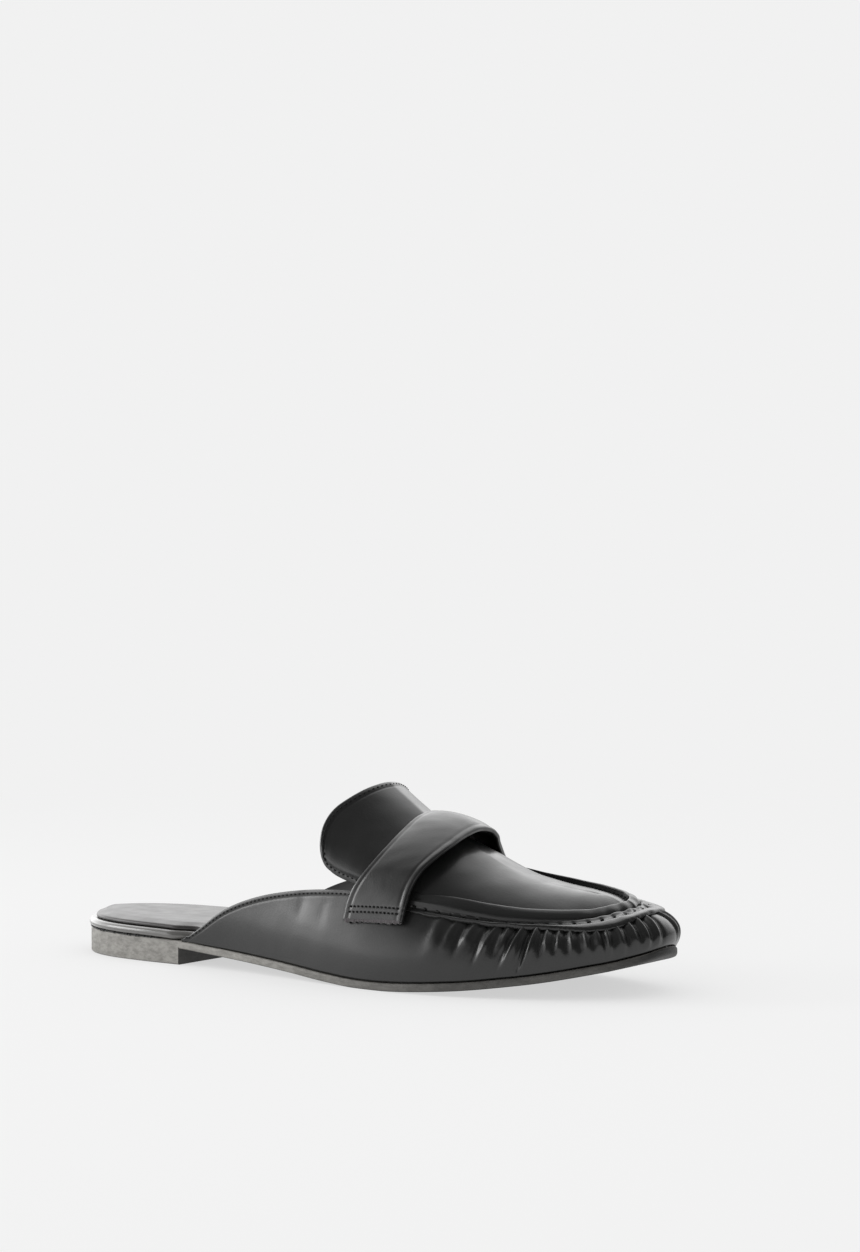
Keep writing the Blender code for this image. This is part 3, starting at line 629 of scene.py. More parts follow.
def piece(name: str, solid: Solid, finish: LeatherFinish | RubberFinish | PlainFinish, part: Part,
          shift: np.ndarray, merge: float = 1e-6, crease: float = 0.0) -> bpy.types.Object:
    """Mesh object from points and faces: doubles merged, faces turned outward, smooth.

    Args: name; solid in shoe coordinates; finish; part that it stands for; shift to the frame;
    merge distance; crease, angle in degrees that stays sharp.
    Returns: the new object.
    """
    mesh = bpy.data.meshes.new(name)
    points, faces = solid
    node, slot = part.value
    faces = faces.tolist() if isinstance(faces, np.ndarray) else faces
    mesh.from_pydata((points + shift).tolist(), [], faces)
    shape = bmesh.new()
    shape.from_mesh(mesh)
    bmesh.ops.remove_doubles(shape, verts=shape.verts, dist=merge)
    loose = [v for v in shape.verts if not v.link_faces]
    bmesh.ops.delete(shape, geom=loose, context="VERTS")
    bmesh.ops.recalc_face_normals(shape, faces=shape.faces)
    shape.to_mesh(mesh)
    shape.free()
    mesh.shade_smooth()
    if crease:
        mesh.set_sharp_from_angle(angle=np.radians(crease))
    mesh.materials.append(bpy.data.materials.get(finish.name) or finish.make())
    made = bpy.data.objects.new(name, mesh)
    bpy.context.scene.collection.objects.link(made)
    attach(made, "root")
    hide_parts(node)
    log.info("%s: %d faces", name, len(mesh.polygons))
    return made


def tube(loops: np.ndarray) -> Solid:
    """Solid swept through closed loops of points, with one face at each end."""
    index = np.arange(loops[..., 0].size).reshape(loops.shape[:2])
    faces = quads(np.column_stack((index, index[:, 0]))).tolist()
    faces += [index[0, ::-1].tolist(), index[-1].tolist()]
    return loops.reshape(-1, 3), faces


def closed_sheet(outer: np.ndarray, inner: np.ndarray,
                 bulge: tuple[float, float, float, float] = (1, 1, 1, 1), folded: bool = False,
                 groove: float = 0.0, groove_width: float = 0.3, steps: int = 7) -> Solid:
    """Sheet with two faces and a half round edge about its whole rim.

    The edge's section is half an ellipse: from the middle of the thickness it goes by the
    cosine of the angle towards either face and by the sine outward. A groove is a bell-shaped
    dent at its crest.

    Args: outer and inner grids; bulge of the first column, last row, last column and first
    row; folded, if the last row is folded on itself; groove, share of the radius, and its width
    in radians; steps round the edge.
    Returns: points and faces.
    """
    m, n = outer.shape[:2]
    index = np.arange(m * n).reshape(m, n)
    if folded:
        index[-1, n // 2 + 1:] = index[-1, :n // 2][::-1]
        rim = np.concatenate((index[::-1, 0], index[0, 1:-1], index[:-1, -1]))
        swell = np.concatenate((np.full(m, bulge[0]), np.full(n - 2, bulge[3]), np.full(m - 1, bulge[2])))
    else:
        rim = np.concatenate((index[:-1, 0], index[-1, :-1], index[:0:-1, -1], index[0, :0:-1]))
        swell = np.repeat(np.array(bulge, float), (m - 1, n - 1, m - 1, n - 1))
    top, low = outer.reshape(-1, 3)[rim], inner.reshape(-1, 3)[rim]
    middle, arm = (top + low) / 2, (top - low) / 2
    radius = np.linalg.norm(arm, axis=1, keepdims=True)
    ahead = np.roll(top, -1, axis=0) - np.roll(top, 1, axis=0)
    out = unit(np.cross(ahead, arm))
    centre = outer.reshape(-1, 3).mean(axis=0)
    side = np.sign((out * (top - centre)).sum(axis=1).mean())
    out = out * side * radius * swell[:, None]
    angle = np.linspace(0, np.pi, steps + 2)[1:-1, None, None]
    dent = 1 - groove * bell(angle - np.pi / 2, groove_width)
    lips = middle + (arm * np.cos(angle) + out * np.sin(angle)) * dent
    count = m * n
    rings = np.vstack((rim, 2 * count + np.arange(lips.shape[0] * len(rim)).reshape(len(lips), -1),
                       rim + count))
    rings = np.column_stack((rings, rings[:, 0]))
    faces = np.vstack((quads(index), quads(index)[:, ::-1] + count, quads(rings)))
    points = np.vstack((outer.reshape(-1, 3), inner.reshape(-1, 3), lips.reshape(-1, 3)))
    return points, faces


def capsules(starts: np.ndarray, ends: np.ndarray, up: np.ndarray, radius: float, arch: float = 0.5,
             rings: int = 7, sides: int = 8) -> Solid:
    """Short stitches: thin rods whose ends taper and dip, as thread does into its holes.

    The radius follows the root of a sine along the rod, and the rod rises by a sine.

    Args: starts and ends; up, the surface's normals; radius; arch, rise over the radius; rings
    and sides of each rod.
    Returns: points and faces of all of them.
    """
    t = np.linspace(0, 1, rings)
    size = np.sqrt(np.sin(np.pi * np.clip(t, 0.03, 0.97))) * radius
    rise = np.sin(np.pi * t) * radius * arch
    angle = np.arange(sides) * 2 * np.pi / sides
    way = unit(ends - starts)
    side = unit(np.cross(up, way))
    up = np.cross(way, side)
    line = starts[:, None] + (ends - starts)[:, None] * t[None, :, None] + up[:, None] * rise[None, :, None]
    turn = (side[:, None, None] * np.cos(angle)[None, None, :, None]
            + up[:, None, None] * np.sin(angle)[None, None, :, None])
    points = line[:, :, None] + turn * size[None, :, None, None]
    index = np.arange(points[..., 0].size).reshape(points.shape[:3])
    loop = np.concatenate((index, index[..., :1]), axis=2)
    faces = [f for one in loop for f in quads(one).tolist()]
    for one in index:
        faces += [one[0, ::-1].tolist(), one[-1].tolist()]
    return points.reshape(-1, 3), faces


@dataclass(frozen=True)
class Stitch:
    """Stitches of one row: pitch, length, thread's radius, and how far in from the edge they run."""
    pitch: float
    length: float
    radius: float
    inset: float = 0.0


def stitch_row(path: np.ndarray, normals: np.ndarray, stitch: Stitch) -> Solid:
    """Stitches set out along a path at an even pitch, the first a little way in.

    Args: path and its normals; stitch.
    Returns: points and faces.
    """
    way = along(path[:, None])[:, 0]
    places = np.arange(0.3 * stitch.pitch, way[-1] - stitch.length, stitch.pitch)
    up = unit(read_at(normals, way, places + stitch.length / 2))
    starts, ends = read_at(path, way, places), read_at(path, way, places + stitch.length)
    return capsules(starts, ends, up, stitch.radius)


def join(parts: list[Solid]) -> Solid:
    """Several point and face sets as one."""
    points, faces, count = [], [], 0
    for part_points, part_faces in parts:
        points.append(part_points)
        faces += [[i + count for i in face] for face in part_faces]
        count += len(part_points)
    return np.vstack(points), faces


def slab(rings: np.ndarray, bulge: Callable[[np.ndarray, np.ndarray], np.ndarray] | None = None,
         rungs: int = 41) -> Solid:
    """Solid of stacked rings capped by rungs from side to side.

    Args: rings, whose points i and n - i face each other; bulge, a function of place and of
    distance from the edge that lifts the upper cap; rungs, points on each.
    Returns: points and faces.
    """
    layers, count = rings.shape[:2]
    index = np.arange(layers * count).reshape(layers, count)
    faces = [quads(np.column_stack((index, index[:, 0])))]
    points = [rings.reshape(-1, 3)]
    half = count // 2
    share = ease(np.linspace(0, 1, rungs), -0.25, 1.25)
    share = ((share - share[0]) / (share[-1] - share[0]))[None, :, None]
    total = layers * count
    for ring, lift in ((rings[0], None), (rings[-1], bulge)):
        lateral, medial = ring[:half + 1], np.roll(ring[::-1], 1, axis=0)[:half + 1]
        cap = lateral[:, None] * (1 - share) + medial[:, None] * share
        if lift is not None:
            width = np.abs(medial - lateral)[:, 1:2]
            cap[..., 2] += lift(cap, np.minimum(share[..., 0], 1 - share[..., 0]) * width)
        faces.append(quads(np.arange(total, total + cap[..., 0].size).reshape(cap.shape[:2])))
        points.append(cap.reshape(-1, 3))
        total += cap[..., 0].size
    return np.vstack(points), np.vstack(faces)


@dataclass(frozen=True)
class Sole:
    """Rubber unit: plate with rounded edges, low heel block and open waist."""
    last: Last
    edge: float = 0.0009
    top_edge: float = 0.7
    edge_rings: int = 5
    columns: int = 200
    corner: tuple[float, ...] = (-0.0012, -0.0004, 0.0, 0.0002, 0.0012)
    corner_reach: float = 0.0015
    crease: float = 35.0

    def build(self) -> list[bpy.types.Object]:
        """Rings round the outline; two columns at the heel's front make its upright face."""
        last = self.last
        share = (1 - np.cos(np.linspace(0, np.pi, self.columns))) / 2
        front = last.heel_length / last.length
        share = share[np.abs(share - front) > self.corner_reach]
        share = np.sort(np.concatenate((share, front + np.array(self.corner))))
        turn = last.turn_at(share)
        turn = np.concatenate((turn, 2 - turn[-2:0:-1]))

        def floor(x: np.ndarray) -> np.ndarray:
            """Underside: the floor under the heel block, the plate in front of it."""
            return np.where(x <= last.heel_length + 1e-6, 0.0, np.maximum(last.plate_under(x), 0.0))

        rings = []
        angle = np.linspace(0, np.pi / 2, self.edge_rings)
        for a in angle:
            rings.append(last.ring(turn, self.edge * (1 - np.sin(a)),
                                   lambda x: floor(x) + self.edge * (1 - np.cos(a))))
        low, high = rings[-1], last.ring(turn, 0.0, lambda x: last.sole_top(x) - self.edge)
        rings += [low * (1 - t) + high * t for t in (0.25, 0.5, 0.75, 1.0)]
        for a in angle[1:]:
            rings.append(last.ring(turn, self.edge * self.top_edge * (1 - np.cos(a)),
                                   lambda x: last.sole_top(x) - self.edge * (1 - np.sin(a))))
        rings = np.array(rings)
        rings[..., 2] = np.maximum(rings[..., 2], 0.0)
        return [piece("rubber_sole", slab(rings), RUBBER, Part.OUTSOLE, last.shift,
                      crease=self.crease)]


@dataclass(frozen=True)
class Footbed:
    """Board whose wrap is rolled round its edge, with the glue line under it."""
    last: Last
    columns: int = 480
    roll_rings: int = 15
    tuck_under: float = 0.0020
    tuck_over: float = 0.0016
    widest: float = 0.45
    glue_reach: float = 0.31
    glue_size: float = 0.00020
    glue_ragged: float = 0.00030

    def build(self) -> list[bpy.types.Object]:
        """Roll: a ring's inset is one less the cosine of the angle, its level the sine."""
        last = self.last
        turn = np.arange(self.columns) * 2 / self.columns
        thickness, inset = last.footbed_line(last.outline(turn)[:, 0])
        rings = []
        for a in np.linspace(-np.pi / 2, np.pi / 2, self.roll_rings):
            tuck = (self.tuck_under if a < 0 else self.tuck_over) * (1 - np.cos(a))
            level = self.widest + (self.widest if a < 0 else 1 - self.widest) * np.sin(a)
            ring = last.ring(turn, inset + tuck, last.sole_top)
            ring[:, 2] += last.gap + level * thickness
            rings.append(ring)
        roll = piece("rolled_footbed", slab(np.array(rings)), ROLL, Part.FOOTBED, last.shift)
        return [roll, self.glue_line()]

    def glue_line(self) -> bpy.types.Object:
        """Ragged bead round the heel: a flat section of six points whose size follows fine noise."""
        last = self.last
        turn = np.linspace(-self.glue_reach, self.glue_reach, 900)
        base = last.ring(turn, last.gap, last.sole_top)
        ragged = np.clip(waves(base, 0.0016, 5) + 0.6 * waves(base, 0.005, 6), 0, 1)
        ends = ease(self.glue_reach - np.abs(turn), 0.0, 0.03)
        size = (self.glue_size + self.glue_ragged * ragged) * ends + 0.00002
        out = np.column_stack((last.outward(turn), np.zeros(len(turn))))
        angle = np.arange(6) * np.pi / 3
        loops = (base[:, None] + UP * 0.0001
                 + (out[:, None] * np.cos(angle)[None, :, None] * 1.6
                    + UP * np.sin(angle)[None, :, None]) * size[:, None, None])
        return piece("glue_line", tube(loops), GLUE, Part.FOOTBED, last.shift)


@dataclass(frozen=True)
class Insole:
    """Padded sock on the footbed, a groove inside the rolled edge."""
    last: Last
    thickness: float = 0.0016
    edge: float = 0.0012
    edge_low: float = 0.32
    edge_rings: int = 9
    crown: float = 0.0011
    softness: float = 0.0045
    rim: float = 0.00035
    rim_at: float = 0.0042
    rim_width: float = 0.0022
    dip: float = 0.0005
    dip_at: float = 0.034
    dip_length: float = 0.016
    dip_width: float = 0.013
    unevenness: float = 0.00010
    columns: int = 480
    rungs: int = 121

    def pad(self, cap: np.ndarray, distance: np.ndarray) -> np.ndarray:
        """Rise of the pad: an exponential from its edge, a bell for the rim, less one for the dip."""
        soft = 1 - np.exp(-distance / self.softness)
        dip = self.dip * bell(cap[..., 0] - self.dip_at, self.dip_length)
        dip = dip * bell(cap[..., 1], self.dip_width)
        rim = self.rim * bell(distance - self.rim_at, self.rim_width)
        return (self.crown + rim - dip + self.unevenness * waves(cap, 0.035, 3)) * soft

    def build(self) -> list[bpy.types.Object]:
        """Quarter-round edge; the pad rises with the distance from its edge and dips at the heel."""
        last = self.last
        turn = np.arange(self.columns) * 2 / self.columns
        thickness, inset = last.footbed_line(last.outline(turn)[:, 0])
        rings = []
        for a in np.linspace(-0.5, np.pi / 2, self.edge_rings):
            margin = last.insole_margin + self.edge * (1 - np.cos(a))
            level = self.edge_low + (1 - self.edge_low) * np.sin(a)
            ring = last.ring(turn, inset + margin, last.sole_top)
            ring[:, 2] += 2 * last.gap + thickness + self.thickness * level
            rings.append(ring)
        sock = piece("padded_insole", slab(np.array(rings), self.pad, self.rungs), SOCK,
                     Part.INSOLE, last.shift)
        return [sock]


@dataclass(frozen=True)
class Vamp:
    """Quarters and gathered vamp as one sheet with a rolled topline.

    Each crease is a row, its lean, a depth and the way up of its middle.
    """
    last: Last
    up_steps: int = 56
    rear_rows: int = 120
    front_rows: int = 300
    tip_wall: float = 0.3
    gather_width: float = 0.001
    gather_height: float = 0.0014
    medial_shift: float = 0.06
    medial_share: float = 0.9
    swells: float = 0.00012
    ripples: float = 0.00008
    creases: tuple[tuple[float, ...], ...] = ((4.15, 0.10, 0.00012, 0.74), (4.75, 0.2, 0.00007, 0.7))
    crease_width: float = 0.0022
    crease_height: float = 0.20
    stitched: tuple[float, float] = (0.35, 6.4)
    stitch: Stitch = Stitch(0.0021, 0.0013, 0.00034, 0.0023)

    def relief(self, rows: np.ndarray, up: np.ndarray, base: np.ndarray, side: Side) -> np.ndarray:
        """Height of the gathers over the smooth wall.

        Each gather is a bell across the line that joins its two ends, measured along the
        wall. It starts under the band and fades out towards its lower end.

        Args: rows; up, shares of the wall's height; base, points of the smooth wall; side.
        Returns: height at each point.
        """
        way = along(base)
        high = np.zeros(base.shape[:2])
        pick = np.arange(len(up))
        table = GATHERS.copy()
        if side is Side.MEDIAL:
            table[:, [0, 2]] -= self.medial_shift
            table[:, 5] *= self.medial_share
        for top_row, top_up, foot_row, foot_up, width, height in table:
            t = (top_up - up) / (top_up - foot_up)
            centre = np.interp(top_row + (foot_row - top_row) * t, rows, np.arange(len(rows)))
            low = np.floor(centre).astype(int).clip(0, len(rows) - 2)
            part = centre - low
            middle = way[low, pick] * (1 - part) + way[low + 1, pick] * part
            fade = ease(1.25 - t, 0.0, 0.75) * ease(up, 0.02, 0.12)
            reach = width * self.gather_width * (0.72 + 0.45 * np.clip(t, 0, 1))
            high += height * self.gather_height * fade * bell(way - middle, reach)
        front = ease(rows, 7.2, 8.2)[:, None]
        high += self.swells * waves(base, 0.016, 11) * (0.35 + 0.65 * front)
        high += self.ripples * waves(base, 0.006, 12) * front * ease(up, 0.2, 0.5)
        if side is Side.LATERAL:
            high -= self.creased(rows, up, way)
        return high

    def creased(self, rows: np.ndarray, up: np.ndarray, way: np.ndarray) -> np.ndarray:
        """Two soft upright dents in the lateral quarter: bells about nearly upright lines."""
        deep = np.zeros(way.shape)
        for row, lean, depth, middle in self.creases:
            line = np.interp(row + lean * (up - 0.7), rows, np.arange(len(rows))).astype(int)
            across = bell(way - way[line, np.arange(len(up))], self.crease_width)
            deep += depth * across * bell(up - middle, self.crease_height)
        return deep

    def build(self) -> list[bpy.types.Object]:
        """Both walls as one grid from the lateral rear end round the toe to the medial one."""
        last = self.last
        rear, front = np.linspace(0, 7, self.rear_rows), np.linspace(7, TOE, self.front_rows)
        rows = np.concatenate((rear, front[1:]))
        up = 1 - (1 - np.linspace(0, 1, self.up_steps)) ** 1.5
        thin = last.wall * (self.tip_wall + (1 - self.tip_wall) * ease(rows, 0, 1))[:, None, None]
        grids, bases = [], []
        for side in Side:
            base = pull_in(last.wall_points(rows, side, up), last.wall / 2, last.roll_reach,
                           Edge.LAST_COLUMN)
            normal = grid_normals(base, -side.value)
            high = self.relief(rows, up, base, side)
            high += folded_edge(along(base[:, ::-1], 1)[:, ::-1]) * ease(-rows, -6.9, -6.4)[:, None]
            grids.append(base + normal * high[..., None])
            bases.append(base - normal * thin)
        outer = np.concatenate((grids[0], grids[1][-2::-1]))
        inner = np.concatenate((bases[0], bases[1][-2::-1]))
        shell = piece("gathered_vamp", closed_sheet(outer, inner, bulge=(0, 1, 1, 1)), LEATHER,
                      Part.UPPER, last.shift)
        return [shell, self.stitches()]

    def stitches(self) -> bpy.types.Object:
        """Row of fine stitches below the topline of each quarter."""
        parts = []
        for side in Side:
            wall = self.last.wall_points(np.linspace(*self.stitched, 400), side, np.linspace(0, 1, 90))
            normal = grid_normals(wall, -side.value)[:, -8]
            parts.append(stitch_row(at_distance(wall[:, ::-1], self.stitch.inset), normal, self.stitch))
        return piece("topline_stitches", join(parts), THREAD_AND_HOLE_SHADE, Part.UPPER, self.last.shift, merge=1e-9)


@dataclass(frozen=True)
class Apron:
    """Apron that runs back as the tongue, its free edge rolled and stitched."""
    last: Last
    across: int = 56
    tongue_rows: int = 90
    front_rows: int = 190
    swells: float = 0.00022
    ripples: float = 0.00005
    stitch: Stitch = Stitch(0.0022, 0.0014, 0.00034, 0.0019)
    stitched: float = 0.90
    corner: float = 0.0035

    def grid(self) -> np.ndarray:
        """Rows from the tongue's rear edge to the toe, columns from rim to rim."""
        last = self.last
        inward = np.linspace(0, 1, self.across + 1)
        back = 1 - np.linspace(0, 1, self.tongue_rows) ** 1.4
        front = np.linspace(NOTCH, TOE, self.front_rows)
        halves = [np.concatenate((last.tongue_points(back, side, inward)[:-1],
                                  last.crown_points(front, side, inward))) for side in Side]
        return np.concatenate((halves[0], halves[1][:, -2::-1]), axis=1)

    def build(self) -> list[bpy.types.Object]:
        """Grid raised by slow waves, folded on itself at the toe, with a rolled rim."""
        last = self.last
        grid = self.grid()
        for edge in Edge:
            grid = pull_in(grid, last.wall / 2, last.roll_reach, edge)
        normal = upward_normals(grid)
        normal[-1] = unit(normal[-2] + normal[-2, ::-1])
        high = self.swells * waves(grid, 0.040, 21) + self.ripples * waves(grid, 0.011, 22)
        tongue = ease(-np.arange(len(grid)), -self.tongue_rows - 2.0, -self.tongue_rows + 4.0)
        side_edge = from_sides(grid) + (1 - tongue[:, None]) * 0.02
        high += folded_edge(np.minimum(along(grid), side_edge))
        outer = grid + normal * high[..., None]
        outer[-1] = (outer[-1] + outer[-1, ::-1]) / 2
        shell = piece("apron_and_tongue", closed_sheet(outer, grid - normal * last.wall, folded=True),
                      LEATHER, Part.UPPER, last.shift)
        return [shell, self.stitches()]

    def stitches(self) -> bpy.types.Object:
        """Row of fine stitches inside the tongue's free edge, from notch over the top to notch."""
        last, inset = self.last, self.stitch.inset
        inward, back = np.linspace(0, 1, 200), np.linspace(1, 0, 120)
        paths, ups = [], []
        for side in Side:
            grid = last.tongue_points(back, side, inward)
            normal = upward_normals(grid)
            low = at_distance(grid, inset)
            low_up = at_distance(grid + normal * 0.001, inset) - low
            down = at_distance(np.swapaxes(grid, 0, 1), inset)
            edge_low = back < self.stitched
            edge_top = along(grid[:1], 1)[0] > inset + self.corner
            path = np.concatenate((low[edge_low][::-1], down[edge_top]))
            up = np.concatenate((low_up[edge_low][::-1], normal[4][edge_top]))
            paths.append(path if side is Side.LATERAL else path[::-1][1:])
            ups.append(up if side is Side.LATERAL else up[::-1][1:])
        row = stitch_row(np.concatenate(paths), unit(np.concatenate(ups)), self.stitch)
        return piece("tongue_stitches", row, THREAD_AND_HOLE_SHADE, Part.UPPER, last.shift, merge=1e-9)


@dataclass(frozen=True)
class Seam:
    """Raised seam: folded crest, outer band with hand-sewn pits, turned inner face.

    Its section has thirteen points; band_at, crest_at and inner_at count along them.
    """
    last: Last
    rows: int = 330
    sides: int = 13
    band_at: float = 3.0
    crest_at: float = 5.0
    inner_at: float = 8.9
    pitch: float = 0.0050
    pit_depth: float = 0.00040
    pit_width: float = 0.0008
    pleat_height: float = 0.00024
    pleat_pitch: float = 0.0066
    unevenness: float = 0.00008
    half_stitch: float = 0.0009
    slant: float = 0.00030
    proud: float = 0.0001
    thread: float = 0.00026
    arch: float = 0.8
    inner_stitch: Stitch = Stitch(0.0025, 0.0016, 0.00024)

    def section(self, rows: np.ndarray, side: Side) -> tuple[np.ndarray, np.ndarray]:
        """Thirteen points round the seam at each row, and the band's middle line."""
        last = self.last
        shares = through(SEAM_ROWS, rows)
        size, width = shares[:, :1], last.seam_width * shares[:, 1]
        lift = last.seam_lift * (shares[:, 2:3] if side is Side.LATERAL else shares[:, 3:])
        wall = last.wall_points(rows, side, np.linspace(0.3, 1, 120))
        normal = grid_normals(wall, -side.value)
        down = wall[:, ::-1]
        raised = (wall + normal * 0.001)[:, ::-1]

        def on_wall(distance: float | np.ndarray, off: float | np.ndarray) -> np.ndarray:
            """Points at a distance below the rim, raised off the wall."""
            spot = at_distance(down, distance)
            return spot + unit(at_distance(raised, distance) - spot) * off

        rim, out = last.wall_row(rows, side)[1:3]
        inner = last.crown_points(rows, side, np.linspace(0, 0.6, 60))
        apron = at_distance(inner, last.seam_crest)
        share = np.sqrt(size)
        band = last.gap + last.seam_thickness * share
        top = last.seam_rise * size + lift
        ragged = 0.00022 * waves(rim, 0.007, 31) + 0.00014 * waves(rim, 0.0022, 32)
        middle = on_wall(width * 0.50, 0.0009 * share)
        points = np.stack((
            on_wall(width + ragged, -0.0002), on_wall(width + ragged, 0.0015 * share),
            on_wall(width * 0.76, 0.0014 * share), middle,
            on_wall(width * 0.30, band), rim + out * (band + 0.0004) + UP * (0.12 * top),
            rim + out * (band + 0.0003) + UP * (0.60 * top),
            rim + out * (band * 0.40) + UP * (top + last.gap),
            apron + UP * (top * 0.9 + last.gap) - out * 0.0001,
            apron + UP * (0.0006 + last.gap) - out * 0.0003,
            apron - UP * 0.0002, rim - UP * 0.0004, on_wall(width * 0.5, -0.0004),
        ), axis=1)
        return points, middle

    @staticmethod
    def rounded(points: np.ndarray, steps: int = 6) -> np.ndarray:
        """Closed smooth curve through each row's points, by neighbouring-slope cubic pieces."""
        before, after = np.roll(points, 1, axis=1), np.roll(points, -1, axis=1)
        slope = (after - before) / 2
        nxt = np.roll(slope, -1, axis=1)
        t = (np.arange(steps) / steps)[None, None, :, None]
        p, q, a, b = (v[:, :, None] for v in (points, after, slope, nxt))
        curve = (p * (1 + 2 * t) + a * t) * (1 - t) ** 2 + (q * (3 - 2 * t) + b * (t - 1)) * t ** 2
        return curve.reshape(len(points), -1, 3)

    def phase(self, distance: np.ndarray) -> np.ndarray:
        """Distance from the nearest pit: the remainder over the pitch, less half of it."""
        return np.mod(distance + 0.3 * self.pitch, self.pitch) - self.pitch / 2

    def build(self) -> list[bpy.types.Object]:
        """Section swept from strap to toe to strap; bells at the pitch pull the band in."""
        last = self.last
        rows = np.linspace(SEAM_ROWS[0, 0], TOE, self.rows)
        lateral, low = self.section(rows, Side.LATERAL)
        medial, high = self.section(rows, Side.MEDIAL)
        loops = self.rounded(np.concatenate((lateral, medial[-2::-1])))
        middle = np.concatenate((low, high[-2::-1]))
        way = along(middle[:, None])[:, 0]
        toe = way[len(rows) - 1]
        count = loops.shape[1]
        place = np.arange(count) / count * self.sides
        normal = unit(np.cross(np.gradient(loops, axis=0), np.roll(loops, -1, 1) - np.roll(loops, 1, 1)))
        centre = loops.mean(axis=1, keepdims=True)
        normal *= np.sign((normal * (loops - centre)).sum(axis=-1).mean())
        near_toe = ease(-np.abs(way - toe), -0.030, -0.008)
        pit = bell(self.phase(way - toe), self.pit_width)[:, None] * bell(place - self.band_at, 0.55)
        turns = (way - toe + 0.0004 * waves(middle, 0.009, 34)) / self.pleat_pitch
        pleat = (np.sin(2 * np.pi * turns) * near_toe)[:, None] * bell(place - self.crest_at, 2.6)
        relief = -self.pit_depth * pit + self.pleat_height * pleat
        relief += self.unevenness * waves(loops, 0.009, 33)
        loops = loops + normal * relief[..., None]
        seam = piece("raised_seam", tube(loops), LEATHER, Part.SEAM, last.shift)
        return [seam, self.stitches(loops, normal, way, toe)]

    def stitches(self, loops: np.ndarray, normal: np.ndarray, way: np.ndarray,
                 toe: float) -> bpy.types.Object:
        """A short slanting stitch in each pit of the band, and a row on the apron's side.

        Args: loops, the seam's sections; normal at their points; way, how far along each
        section is; toe, how far along the toe is.
        Returns: the new object.
        """
        spots = np.arange(way[0] + 0.004, way[-1] - 0.004, 0.0001)
        pick = np.searchsorted(way, spots[np.abs(self.phase(spots - toe)) < 0.00005])
        band, inner = (int(at / self.sides * loops.shape[1]) for at in (self.band_at, self.inner_at))
        line, up = loops[:, band], normal[:, band]
        step = unit(np.gradient(line, axis=0))
        half = (step * self.half_stitch + np.cross(up, step) * self.slant)[pick]
        middle = (line + up * self.proud)[pick]
        pits = capsules(middle - half, middle + half, up[pick], self.thread, self.arch)
        row = stitch_row(loops[8:-8, inner], normal[8:-8, inner], self.inner_stitch)
        return piece("seam_stitches", join([pits, row]), THREAD_AND_HOLE_SHADE, Part.SEAM, self.last.shift, merge=1e-9)


@dataclass(frozen=True)
class Strap:
    """Wide strap with a two-layer edge and raw, double-stitched feet.

    rows are the distances of the two stitch rows from a foot's end.
    """
    last: Last
    length_steps: int = 420
    width_steps: int = 70
    roll_reach: float = 0.004
    groove: float = 0.16
    swells: float = 0.00015
    ripples: float = 0.00004
    rim_dent: float = 0.00012
    row_dent: float = 0.00008
    rows: tuple[float, float] = (0.0026, 0.0046)
    stitch: Stitch = Stitch(0.0018, 0.0010, 0.00036)
    fray: float = 0.0011
    fray_sides: int = 10

    def build(self) -> list[bpy.types.Object]:
        """Strap sheet with grooved edges, its feet lined by a ragged cut edge."""
        last = self.last
        way, over = np.linspace(-1, 1, self.length_steps), np.linspace(0, 1, self.width_steps)
        grid = last.strap_points(way, over)
        for edge in (Edge.FIRST_COLUMN, Edge.LAST_COLUMN):
            grid = pull_in(grid, last.strap / 2, self.roll_reach, edge)
        normal = upward_normals(grid)
        relief = self.swells * waves(grid, 0.030, 41) + self.ripples * waves(grid, 0.009, 42)
        relief = relief - self.rim_dent * bell(from_sides(grid) - 0.0016, 0.0007)
        for distance in self.rows:
            for line in (along(grid), along(grid[::-1])[::-1]):
                relief = relief - self.row_dent * bell(line - distance, 0.0005)
        outer = grid + normal * relief[..., None]
        sheet = closed_sheet(outer, grid - normal * last.strap, bulge=(1, 0.6, 1, 0.6),
                             groove=self.groove, steps=11)
        strap = piece("saddle_strap_leather", sheet, STRAP_LEATHER, Part.STRAP, last.shift)
        return [strap, self.stitches(grid, normal), self.cut_edge(grid, normal)]

    def stitches(self, grid: np.ndarray, normal: np.ndarray) -> bpy.types.Object:
        """Two rows of stitches across each foot."""
        parts = []
        for lines, ups in ((grid, normal), (grid[::-1], normal[::-1])):
            for distance in self.rows:
                path = at_distance(np.swapaxes(lines, 0, 1)[3:-3], distance)
                parts.append(stitch_row(path, ups[5, 3:-3], self.stitch))
        return piece("strap_stitches", join(parts), THREAD_AND_HOLE_SHADE, Part.STRAP, self.last.shift, merge=1e-9)

    def cut_edge(self, grid: np.ndarray, normal: np.ndarray) -> bpy.types.Object:
        """Frayed edge under each foot: a bead whose size follows fine noise."""
        last = self.last
        parts = []
        for line, up, step in ((grid[0], normal[0], grid[0] - grid[4]),
                               (grid[-1], normal[-1], grid[-1] - grid[-5])):
            index = np.arange(len(line))
            fine = np.linspace(0, len(line) - 1, 260)
            path, up = read_at(line, index, fine), unit(read_at(up, index, fine))
            down = unit(step[[0, -1]].mean(axis=0))
            size = 1 + 0.35 * waves(path, 0.0016, 51) + 0.2 * waves(path, 0.0007, 52)
            angle = np.arange(self.fray_sides) * 2 * np.pi / self.fray_sides
            loops = (path[:, None] - up[:, None] * last.strap / 2
                     + up[:, None] * np.cos(angle)[None, :, None] * last.strap * 0.52
                     + down * (np.sin(angle)[None, :, None] * self.fray) * size[:, None, None])
            parts.append(tube(loops))
        return piece("strap_cut_edge", join(parts), CUT, Part.STRAP, last.shift, merge=1e-9)


